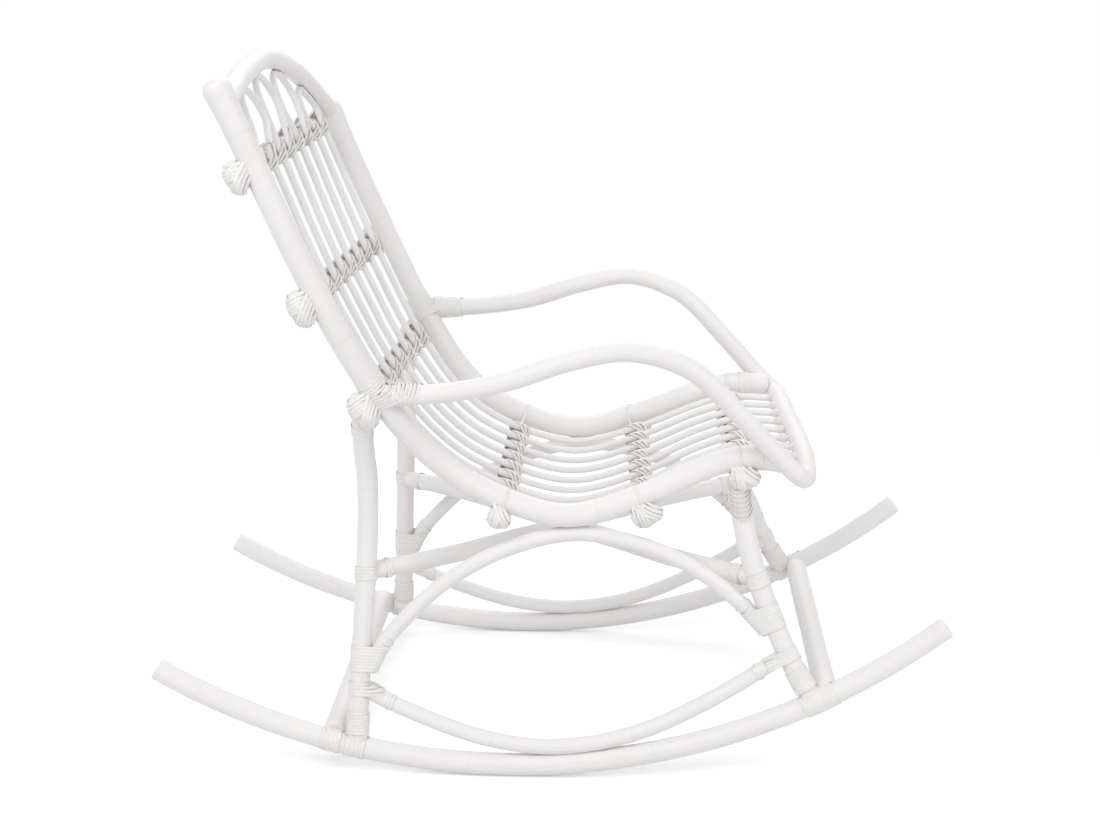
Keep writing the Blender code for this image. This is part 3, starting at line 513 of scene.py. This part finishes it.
def sweep(path, side, up, profile):
    # a closed profile carried along a path: point = path + profile x times side + profile y times up.
    # gives vertices, quads and end faces, turned outwards, and a map of (share round, metres along)
    rings, around = profile.shape[0], profile.shape[1]
    points = path[:, None] + profile[..., :1] * side[:, None] + profile[..., 1:] * up[:, None]
    points = points.reshape(-1, 3)
    i, j = np.meshgrid(np.arange(rings - 1), np.arange(around), indexing="ij")
    j2 = (j + 1) % around
    quads = np.stack([i * around + j, i * around + j2, (i + 1) * around + j2, (i + 1) * around + j], axis=-1)
    length = np.concatenate([[0], np.cumsum(np.linalg.norm(np.diff(path, axis=0), axis=1))])
    u = np.stack([j, j + 1, j + 1, j], axis=-1) / around
    v = np.stack([length[i], length[i], length[i + 1], length[i + 1]], axis=-1)
    quads, maps = quads.reshape(-1, 4), np.stack([u, v], axis=-1).reshape(-1, 4, 2)
    ends = [np.arange(around)[::-1], (rings - 1) * around + np.arange(around)]
    endMaps = [np.stack([ends[0] / around, np.zeros(around)], axis=1),
               np.stack([np.arange(around) / around, np.full(around, length[-1])], axis=1)]
    corners = points[quads]
    middle = points.mean(axis=0)
    volume = np.einsum("ij,ij->i", corners[:, 0] - middle,
                       np.cross(corners[:, 1] - middle, corners[:, 2] - middle)
                       + np.cross(corners[:, 2] - middle, corners[:, 3] - middle)).sum()
    if volume < 0:
        quads, maps = quads[:, ::-1], maps[:, ::-1]
        ends, endMaps = [end[::-1] for end in ends], [m[::-1] for m in endMaps]
    return points, quads, maps, ends, endMaps


def addPiece(name, sweeps, slot, nodes=(), marks=None):
    # several sweeps as one mesh object, riding on the frame; the marks, one a point, show in its colour as
    # joint tints and painted shade
    points, faces, maps, start = [], [], [], 0
    for part in sweeps:
        points.append(part[0])
        faces += (part[1] + start).tolist() + [(end + start).tolist() for end in part[3]]
        maps += [part[2].reshape(-1, 2)] + part[4]
        start += len(part[0])
    mesh = bpy.data.meshes.new(name)
    mesh.from_pydata(np.concatenate(points).tolist(), [], faces)
    mesh.uv_layers.new(name="along").data.foreach_set("uv", np.concatenate(maps).ravel())
    if marks is not None:
        mesh.attributes.new("mark", "FLOAT", "POINT").data.foreach_set("value", marks.astype(np.float32))
    mesh.polygons.foreach_set("use_smooth", np.ones(len(mesh.polygons), bool))
    mesh.materials.append(materials[slot])
    mesh.update()
    piece = bpy.data.objects.new(name, mesh)
    bpy.context.scene.collection.objects.link(piece)
    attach(piece, "root")
    if nodes:
        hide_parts(*nodes)


# Poles
poleLooks = {
    "sides": 22, "ringStep": 0.006, "thinRadius": 0.006, "thinSides": 12, "thinStep": 0.005,
    "endRound": 0.003, "topRound": 0.014, "topFlare": 0.0026, "flareReach": 0.035, "waver": 0.018,
    "oval": 0.02, "firstJoint": (0.05, 0.2), "jointSpacing": (0.17, 0.30), "lastJoint": 0.04,
    "jointHeight": 0.00028, "jointRadius": 0.016, "jointWidth": 0.0042, "crestFuller": 0.0012,
    "slit": 0.0013, "slitReach": 0.15, "slitStep": 0.001}


def slitShadeMarks(name, points):
    # painted shade, near black, in the narrow space between crest and arches: 2 less the space over the
    # slit's width
    if name == "crest_bow":
        others, more = [poles[other] for other in hairpins], 0.0
    else:
        others, more = [poles["crest_bow"]], poleLooks["crestFuller"]
    space = np.full(len(points), 1.0)
    around = np.arange(-poleLooks["slitReach"], poleLooks["slitReach"], poleLooks["slitStep"])
    for other in others:
        near = other.at(around + other.length / 2)
        apart = np.sqrt(((points[:, None] - near[None])**2).sum(axis=2).min(axis=1))
        space = np.minimum(space, apart - other.radius - more)
    return 2 - space / poleLooks["slit"]


def sweptPole(name, pole, seed, up=(0, 1, 0)):
    # a round pole: rings of radius times (cos, sin), with rounded ends, slow changes of thickness,
    # and rattan joints as low rings (a bell of height over distance) with a groove just past each
    rng = np.random.default_rng(seed)
    thin = pole.radius <= poleLooks["thinRadius"]
    step = poleLooks["thinStep"] if thin else poleLooks["ringStep"]
    body = np.arange(poleLooks["topRound"] + step, pole.length - poleLooks["endRound"], step)
    spots, at = [], rng.uniform(*poleLooks["firstJoint"])
    while at < pole.length - poleLooks["lastJoint"]:
        spots.append(at)
        at += rng.uniform(*poleLooks["jointSpacing"])
    width = poleLooks["jointWidth"]
    near = [spot + width * np.array((-2, -1, -0.5, 0, 0.35, 0.6, 0.9, 1.6, 2.4)) for spot in spots]
    bend = np.linspace(0, np.pi / 2, 7)
    startRound = poleLooks["topRound"] if name.startswith("side_rail") else poleLooks["endRound"]
    inset, lip = 1 - np.sin(bend), 1 - np.cos(bend)
    stations = np.unique(np.concatenate(
        [startRound * lip, body, pole.length - poleLooks["endRound"] * lip] + near).round(6))
    stations = stations[np.concatenate([[True], np.diff(stations) > 0.0001])]
    stations = np.clip(stations, 0, pole.length)
    waver = np.sin(stations * rng.uniform(9, 16) + rng.uniform(0, 6)) * np.sin(stations * rng.uniform(3, 6))
    radius = pole.radius * (1 + poleLooks["waver"] * waver)
    ring = np.zeros(len(stations))
    for spot in spots:
        away = (stations - spot) / width
        radius += poleLooks["jointHeight"] * (pole.radius / poleLooks["jointRadius"]) * (
            np.exp(-away**2) - 0.9 * np.exp(-((away - 0.75) / 0.28)**2))
        ring = np.maximum(ring, np.exp(-((away - 0.72) / 0.35)**2))
    if name == "crest_bow":
        radius += poleLooks["crestFuller"]
    if name.startswith("side_rail"):
        radius += poleLooks["topFlare"] * np.exp(-(stations / poleLooks["flareReach"])**2)
    radius -= startRound * np.interp(stations, startRound * lip, inset)
    radius -= poleLooks["endRound"] * np.interp(pole.length - stations, poleLooks["endRound"] * lip, inset)
    along = pole.along(stations)
    if np.ndim(up) == 2:
        up = np.stack([np.interp(stations, pole.stations, up[:, i]) for i in range(3)], axis=1)
    side = unit(np.cross(along, np.broadcast_to(up, along.shape)))
    square = np.cross(side, along)
    turn = np.linspace(0, 2 * np.pi, poleLooks["thinSides" if thin else "sides"], endpoint=False)
    oval = 1 + poleLooks["oval"] * np.cos(2 * turn + rng.uniform(0, 6))
    circle = oval[:, None] * np.stack([np.cos(turn), np.sin(turn)], axis=1)
    profile = radius[:, None, None] * circle[None]
    swept = sweep(pole.at(stations), side, square, profile)
    marks = np.repeat(ring, len(turn))
    # painted shade for the slits between crest and arches goes into the marks
    if name == "crest_bow" or name in hairpins:
        marks = np.maximum(marks, slitShadeMarks(name, swept[0]))
    addPiece(name + "_pole", [swept], "painted_rattan", [name], marks)


for number, (name, pole) in enumerate(poles.items()):
    up = (0, 1, 0)
    if name in hairpins:
        up = spindleNormals[name]
    elif any(kind in name for kind in ("pole", "stretcher", "hoop")):
        up = (0, 0, 1)
    elif name == "crest_bow":
        up = awayFromSitter(topIndex)
    sweptPole(name, pole, 100 + number, up)
print("poles made")


# Bindings: flat cane wound round poles, alone or several together
caneSizes = {
    "width": 0.0046, "thick": 0.0013, "pitch": 0.0044, "loopPoints": 40, "clear": 0.0002, "reach": 0.075,
    "slice": 0.0011, "facings": 241, "endPoints": 5,
    "shift": 0.0, "lean": 0.0}      # how far off its centre a band lies, and how much it leans there, a metre
caneProfile = np.array((
    (-0.50, -0.10), (-0.46, 0.22), (-0.28, 0.43), (0, 0.50), (0.28, 0.43), (0.46, 0.22), (0.50, -0.10),
    (0.40, -0.50), (-0.40, -0.50)))


def bandLoop(cloud, axis, first, second, offset, lift, sizes):
    # the tight loop of a band round everything in one plane: for each facing angle the surface point
    # that reaches furthest, moved out by the lift, then spaced evenly
    flat = cloud[np.abs(cloud @ axis - offset) < sizes["slice"]]
    flat = np.stack([flat @ first, flat @ second], axis=1)
    facing = np.linspace(0, 2 * np.pi, sizes["facings"])
    normal = np.stack([np.cos(facing), np.sin(facing)], axis=1)
    best = flat[np.argmax(flat @ normal.T, axis=0)] + lift * normal
    loop = evenLine(np.concatenate([best, normal], axis=1), sizes["loopPoints"] + 1)
    return loop[:, :2], unit(loop[:, 2:])


def caneStrip(path, side, up, sizes):
    # the strip itself: the profile times width and thickness, both drawn in over the last few points
    ends = np.minimum(np.arange(len(path)), np.arange(len(path))[::-1])
    full = np.clip((ends + 1) / sizes["endPoints"], 0, 1)[:, None, None]
    profile = caneProfile[None] * np.concatenate(
        [sizes["width"] * (0.5 + 0.5 * full), sizes["thick"] * full], axis=2)
    return sweep(path, side, up, profile)


def windBand(cloud, centre, axis, turns, facing=(0, 0, 1), lift=(0.0, 0.0), **sizes):
    # flat cane wound round a cloud of surface points: loops in planes square to the axis, each blended
    # into the next along the turn, so that the strip is one unbroken helix; the lift goes evenly through
    # its values
    sizes = {**caneSizes, **sizes}
    axis = unit(axis)
    first = unit(np.array(facing) - axis * np.dot(facing, axis))
    second = np.cross(axis, first)
    count, pitch = sizes["loopPoints"], sizes["pitch"]
    cloud = (cloud - centre)[np.linalg.norm(cloud - centre, axis=1) < sizes["reach"]]
    starts = (np.arange(int(math.ceil(turns)) + 1) - turns / 2) * pitch + sizes["shift"]
    raised = sizes["clear"] + sizes["thick"] / 2 + np.interp(
        np.linspace(0, 1, len(starts)), np.linspace(0, 1, len(lift)), lift)
    loops = [bandLoop(cloud, axis, first, second, start, high, sizes) for start, high in zip(starts, raised)]
    path, normals = [], []
    share = np.linspace(0, 1, count + 1)[:, None]
    for k in range(len(loops) - 1):
        flat = loops[k][0] * (1 - share) + loops[k + 1][0] * share
        out = unit(loops[k][1] * (1 - share) + loops[k + 1][1] * share)
        offset = (starts[k] + pitch * share) * axis
        path.append((centre + flat[:, :1] * first + flat[:, 1:] * second + offset)[:-1])
        normals.append(unit(out[:, :1] * first + out[:, 1:] * second + sizes["lean"] * offset)[:-1])
    keep = int(turns * count) + 1
    path, normals = np.concatenate(path)[:keep], np.concatenate(normals)[:keep]
    along = unit(np.gradient(path, axis=0))
    side = unit(np.cross(along, normals))
    return caneStrip(path, side, np.cross(side, along), sizes)


def tie(one, other, point, sizes):
    # a tie of two crossing poles: turns round both, higher in the middle, whose axis is square to the
    # second pole and turned by the slant towards it; gives the cane and, as 0 to 1, how much painted shade
    # its points get in the valleys between ties
    here, there = one.nearest(point), other.nearest(point)
    centre = (one.at(here) + other.at(there)) / 2
    ahead = one.along(here)
    aside = other.along(there) * np.sign(other.along(there)[1] * ahead[0])
    ahead = unit(ahead - aside * np.dot(aside, ahead))
    facing = unit(other.at(there) - one.at(here))
    cloud = np.concatenate([one.skin(), other.skin()])
    band = {key: sizes[key] for key in ("pitch", "width", "thick", "loopPoints", "reach")}
    slant = math.radians(sizes["slant"])
    turns = windBand(cloud, centre, math.cos(slant) * ahead + math.sin(slant) * aside, sizes["turns"], facing,
                     (0.0, sizes["barrel"], sizes["barrel"], 0.0), **band)
    return turns, np.interp((turns[0] - one.at(here)) @ facing, sizes["valleyShadeDepths"], (0, 1, 1, 0))


def turnsOn(pole, station, turns, lift=(0.0, 0.0), others=(), tilt=(0, 0, 0), **sizes):
    # plain turns round a pole, and any others beside it, square to it or tilted
    facing = (0, 0, 1) if abs(pole.along(station)[2]) < 0.8 else (1, 0, 0)
    cloud = np.concatenate([member.skin() for member in (pole, *others)])
    return windBand(cloud, pole.at(station), unit(pole.along(station) + tilt), turns, facing, lift, **sizes)


def ball(pole, atStart, railPole, station, away, sizes):
    # a wrapped end of a pole: a ball whose radius towards an angle is that of an ellipse, longer along the
    # rail; turns of cane lie round the ball and the inside of the rail together, so that they run off the
    # ball into the rail's side: the upper ones square to the rail, the lower ones turned
    end = 0 if atStart else pole.length
    out = pole.along(end) * (-1 if atStart else 1)
    ahead = railPole.along(station)
    ahead = unit(ahead - out * np.dot(ahead, out))
    away = unit(away - out * np.dot(away, out) - ahead * np.dot(away, ahead))
    centre = pole.at(end) - sizes["inset"] * out
    turn = np.linspace(0, 2 * np.pi, sizes["sides"], endpoint=False)
    across = np.where(np.cos(turn) > 0, sizes["away"], sizes["towards"])
    reach = 1 / np.sqrt((np.cos(turn) / across)**2 + (np.sin(turn) / sizes["along"])**2)
    oval = reach[:, None] * np.stack([np.cos(turn), np.sin(turn)], axis=1)
    rise = np.linspace(0, np.pi, sizes["rings"])
    profile = np.maximum(np.sin(rise), sizes["tip"])[:, None, None] * oval[None]
    path = centre - np.outer(np.cos(rise) * sizes["height"], out)
    side, up = np.broadcast_to(away, path.shape), np.broadcast_to(ahead, path.shape)
    ringSkip, sideSkip = sizes["coreSkips"]
    core = sweep(path[::ringSkip], side[::ringSkip], up[::ringSkip], profile[::ringSkip, ::sideSkip])
    surface = path[:, None] + profile[..., :1] * side[:, None] + profile[..., 1:] * up[:, None]
    inside = Pole(railPole.line + sizes["behind"] * away, sizes["sunk"] * railPole.radius)
    cloud = np.concatenate([surface.reshape(-1, 3), inside.skin()])
    band = {key: sizes[key] for key in ("pitch", "width", "thick", "loopPoints", "reach", "lean")}
    turns = int(sizes["cover"] * sizes["along"] / sizes["pitch"])
    slant = math.radians(sizes["turned"]) * (1 if atStart else -1)
    turned = math.cos(slant) * ahead + math.sin(slant) * np.cross(out, ahead)
    shift = sizes["apart"] * sizes["along"]
    return [core, windBand(cloud, centre, ahead, turns, away, shift=-shift, **band),
            windBand(cloud, centre, turned, turns, away, (sizes["lift"], 0.0), shift=shift, **band)]


def bind(node, bands):
    addPiece(node + "_cane", bands, "painted_cane", [node])


def strap(name, bands):
    addPiece(name + "_cane", bands, "painted_cane")


def fromEnd(pole, distance, atStart):
    return distance if atStart else pole.length - distance


# Legs: turns at the hoop, the arch, the bow and the foot, and round the rocker under leg and stretcher
legBindings = {
    "hoopTurns": 4, "hoopLift": 0.0004, "hoopEnds": {"rear": (0.024, 1.5), "front": (0.026, 4)},
    "archTurns": 8, "archRise": 0.017, "archThick": 0.0010, "archRing": 0.050,
    "bowTurns": 4, "bowReach": 0.034, "bowRing": 0.040, "ringTurns": 1.4,
    "footTurns": 7, "footStart": 0.011, "footSwell": 0.0006, "rockerTurns": 6, "rockerLift": 0.0003}
for side, _ in sides:
    rockerPole, hoop = poles[f"rocker_{side}"], poles[f"inner_hoop_{side}"]
    arch, bow = poles[f"upper_arch_{side}"], poles[f"lower_bow_{side}"]
    for kind, archZ, bowZ, atStart in (("rear", archSizes["rearFootZ"], bowSizes["rearZ"], True),
                                       ("front", archSizes["frontFootZ"], bowSizes["frontZ"], False)):
        leg, stretcher = poles[f"{kind}_leg_{side}"], poles[f"{kind}_stretcher"]
        hoopPlace, hoopTurns = legBindings["hoopEnds"][kind]
        bind(f"hoop_binding_{kind}_{side}", [
            turnsOn(leg, leg.atHeight(hoopSizes["z"]), legBindings["hoopTurns"], (legBindings["hoopLift"],)),
            turnsOn(hoop, fromEnd(hoop, hoopPlace, atStart), hoopTurns)])
        bind(f"arch_binding_{kind}_{side}", [
            turnsOn(leg, leg.atHeight(archZ + legBindings["archRise"]), legBindings["archTurns"],
                    others=[arch], thick=legBindings["archThick"]),
            turnsOn(arch, fromEnd(arch, legBindings["archRing"], atStart), legBindings["ringTurns"])])
        footTurns = legBindings["footTurns"]
        bind(f"foot_binding_{kind}_{side}", [
            turnsOn(leg, legBindings["footStart"] + footTurns * caneSizes["pitch"] / 2, footTurns,
                    (legBindings["footSwell"], 0.0))])
        stretcherEnd = stretcher.at(fromEnd(stretcher, 0, side == "right"))
        strap(f"foot_straps_{kind}_{side}", [
            turnsOn(rockerPole, rockerPole.nearest(leg.at(0)), legBindings["rockerTurns"],
                    (legBindings["rockerLift"],)),
            turnsOn(rockerPole, rockerPole.nearest(stretcherEnd), legBindings["rockerTurns"])])
        strap(f"bow_straps_{kind}_{side}", [
            turnsOn(leg, leg.atHeight(bowZ), legBindings["bowTurns"], others=[bow],
                    reach=legBindings["bowReach"]),
            turnsOn(bow, fromEnd(bow, legBindings["bowRing"], atStart), legBindings["ringTurns"])])

# Arms: turns that swell towards the rear joint, turns round rail and arm there, turns at the rails' ends
armBindings = {
    "start": 0.014, "turns": {"right": 7, "left": 9}, "swell": {"right": 0.0006, "left": 0.0030},
    "slant": {"right": 0.8, "left": 0.0}, "thick": {"right": 0.0008, "left": 0.0013},
    "jointTurns": 9, "jointReach": 0.046, "endTurns": {"right": 3, "left": 4}, "endPlace": 0.034,
    "endThick": 0.0007}
arm = poles["arm_hoop"]
for side, sign in sides:
    railPole = poles[f"side_rail_{side}"]
    turns = armBindings["turns"][side]
    station = fromEnd(arm, armBindings["start"] + turns * caneSizes["pitch"] / 2, side == "left")
    swell = (armBindings["swell"][side], 0.0)[::sign]
    joint = railPole.nearest(mirrored(armJoint, sign))
    bind(f"arm_binding_{side}", [
        turnsOn(arm, station, turns, swell, tilt=-armBindings["slant"][side] * railPole.along(joint),
                thick=armBindings["thick"][side]),
        turnsOn(railPole, joint, armBindings["jointTurns"], others=[arm], reach=armBindings["jointReach"])])
    strap(f"rail_end_{side}", [
        turnsOn(railPole, fromEnd(railPole, armBindings["endPlace"], False), armBindings["endTurns"][side],
                thick=armBindings["endThick"])])

# Knobs: a wrapped ball on each cross pole's end, and under the seat one thin turn round rail and cross pole
knobSizes = {
    "height": 0.0180, "inset": 0.0070, "towards": 0.0140, "sunk": 0.50, "behind": 0.006, "turned": 45,
    "cover": 1.0, "apart": 0.4, "lift": 0.0006, "lean": 45, "pitch": 0.0044, "width": 0.0053, "thick": 0.0009,
    "loopPoints": 56, "reach": 0.06, "sides": 120, "rings": 97, "tip": 0.01, "coreSkips": (6, 4)}
knobShapes = (
    {"along": 0.0215, "away": 0.0138}, {"along": 0.0245, "away": 0.0156},
    {"along": 0.0255, "away": 0.0180, "inset": 0.0030},
    {"along": 0.0160, "away": 0.0150, "width": 0.0047},
    {"along": 0.0215, "away": 0.0160, "width": 0.0043, "thick": 0.0013},
    {"along": 0.0205, "away": 0.0175, "width": 0.0047, "thick": 0.0014})
railTurn = {"width": 0.0034, "thick": 0.0006, "pitch": 0.0046, "reach": 0.034}
for name, index, shape in zip(crossEnds, crossIndex, knobShapes):
    pole = poles[name]
    for (side, sign), place in zip(sides, index):
        railPole = poles[f"side_rail_{side}"]
        away = mirrored(awayFromSitter(place), sign)
        station = railPole.nearest(mirrored(rail[place], sign))
        bands = ball(pole, side == "right", railPole, station, away, {**knobSizes, **shape})
        if name.startswith("seat"):
            bands.append(turnsOn(railPole, station, 1, others=[pole], **railTurn))
        bind(f"{name}_knob_{side}", bands)

# Leg tops: a few turns below the knobs
legTops = {
    "rear": {"turns": 4, "place": 0.026, "tilt": 0.0, "thick": 0.0008},
    "front": {"turns": 8, "place": 0.018, "tilt": 0.9, "thick": 0.0015}}
for side, sign in sides:
    for kind, look in legTops.items():
        leg = poles[f"{kind}_leg_{side}"]
        strap(f"{kind}_leg_top_{side}", [
            turnsOn(leg, fromEnd(leg, look["place"], False), look["turns"], tilt=(0, look["tilt"] * sign, 0),
                    thick=look["thick"])])

# Ties: every bar strapped to every cross pole, and to the front bar
tieSizes = {
    "turns": 3, "slant": 46, "pitch": 0.0042, "width": 0.0047, "thick": 0.0013, "loopPoints": 36,
    # the last numbers are the depths below the bar over which the valleys' painted shade comes and goes
    "barrel": 0.0010, "reach": 0.027, "valleyShadeDepths": (0.002, 0.006, 0.010, 0.016)}
barEnds = {"pitch": 0.0034, "width": 0.0035, "thick": 0.0010, "loopPoints": 20, "reach": 0.02}
barEndTurns, barEndPlace = 3, 0.015
for name, ends in zip(crossEnds, crossIndex):
    bands, marks = [], []
    for number, share in enumerate(barShares):
        crossing = behindRails(int(indexBetween(ends, share)), share, spindleOffset)
        turns, valleyShade = tie(poles[hairpins[number // 2]], poles[name], crossing, tieSizes)
        bands.append(turns)
        marks.append(valleyShade)
    # the ties' marks paint shade into the valleys between them
    addPiece(f"{name}_ties_cane", bands, "painted_cane", marks=np.concatenate(marks))
strap("bar_ends", [
    turnsOn(poles[name], fromEnd(poles[name], barEndPlace, atStart), barEndTurns, **barEnds)
    for name in hairpins for atStart in (True, False)])
print("bindings made")


# Stage: a pale floor that turns to plain white away from the chair, soft lamps and a white surround
stageLooks = {
    "colour": (0.86, 0.86, 0.86, 1), "roughness": 0.9, "shine": 0.1, "half": 9.0, "glow": 0.29,
    "fade": (0.75, 1.9), "surround": 0.54, "white": (1, 1, 1, 1)}
half = stageLooks["half"]
corners = [(-half, -half, 0), (half, -half, 0), (half, half, 0), (-half, half, 0)]
floorMesh = bpy.data.meshes.new("floor")
floorMesh.from_pydata(corners, [], [(0, 1, 2, 3)])


def seenDirectly(finish):
    # 1 for rays from the camera and for mirrored or passed-through ones, 0 for the light's own
    ray = finish.add("ShaderNodeLightPath").socket.node.outputs
    direct, glossy, through = (
        Term(finish, ray[f"Is {kind} Ray"]) for kind in ("Camera", "Glossy", "Transmission"))
    return direct.math("MINIMUM", direct + glossy + through, 1.0)


def paleFloor():
    finish = Finish(bpy.data.materials.new("paleFloor"), "Principled BSDF")
    finish.shader.inputs["Base Color"].default_value = stageLooks["colour"]
    finish.shader.inputs["Roughness"].default_value = stageLooks["roughness"]
    finish.shader.inputs["Specular IOR Level"].default_value = stageLooks["shine"]
    seen = seenDirectly(finish)
    place = Term(finish, finish.add("ShaderNodeTexCoord").socket.node.outputs["Object"])
    away = finish.add("ShaderNodeVectorMath", {"operation": "LENGTH"}, {0: place}, 1)
    glow = finish.add("ShaderNodeEmission", None, {"Strength": seen * stageLooks["glow"]})
    lit = finish.add("ShaderNodeAddShader", None, {0: Term(finish, finish.shader.outputs[0]), 1: glow})
    white = finish.add("ShaderNodeEmission", None, {"Color": stageLooks["white"], "Strength": 1.0})
    far = finish.smooth(away, *stageLooks["fade"]) * seen
    finish.end(finish.add("ShaderNodeMixShader", None, {0: far, 1: lit, 2: white}))
    return finish.owner


floorMesh.materials.append(paleFloor())
floor = bpy.data.objects.new("floor", floorMesh)
bpy.context.scene.collection.objects.link(floor)

lightsAim = (0, 0, 0.45)
lights = {
    "key": {"at": (-1.6, -2.6, 3.4), "size": 3.2, "watts": 77},
    "fill": {"at": (2.8, -1.8, 2.2), "size": 3.0, "watts": 34},
    "rim": {"at": (0.2, 2.6, 3.0), "size": 3.0, "watts": 40}}
for name, look in lights.items():
    lamp = bpy.data.lights.new(name, "AREA")
    lamp.shape, lamp.size, lamp.energy = "DISK", look["size"], look["watts"]
    lampObject = bpy.data.objects.new(name, lamp)
    x, y, z = np.array(lightsAim) - look["at"]
    lampObject.location = look["at"]
    lampObject.rotation_euler = (math.atan2(math.hypot(x, y), -z), 0, math.atan2(-x, y))
    bpy.context.scene.collection.objects.link(lampObject)

surround = Finish(bpy.data.worlds.new("studio"), "Background")
surround.shader.inputs["Color"].default_value = stageLooks["white"]
surround.shader.inputs["Strength"].default_value = stageLooks["surround"]
plain = surround.add("ShaderNodeBackground", None, {"Color": stageLooks["white"], "Strength": 1.0})
surround.end(surround.add("ShaderNodeMixShader", None, {
    0: seenDirectly(surround), 1: Term(surround, surround.shader.outputs[0]), 2: plain}))
bpy.context.scene.world = surround.owner
bpy.context.scene.view_settings.view_transform = "Standard"

cameraSizes = {"at": (0.1077, -2.4227, 1.1189), "down": 0.2742, "turn": 0.0473, "lens": 58.31, "sensor": 36}
cameraData = bpy.data.cameras.new("camera")
cameraData.lens, cameraData.sensor_width = cameraSizes["lens"], cameraSizes["sensor"]
cameraData.sensor_fit = "HORIZONTAL"
camera = bpy.data.objects.new("camera", cameraData)
camera.location = cameraSizes["at"]
camera.rotation_euler = (math.pi / 2 - cameraSizes["down"], 0, cameraSizes["turn"])
bpy.context.scene.collection.objects.link(camera)
bpy.context.scene.camera = camera
print("stage, lights and camera set")
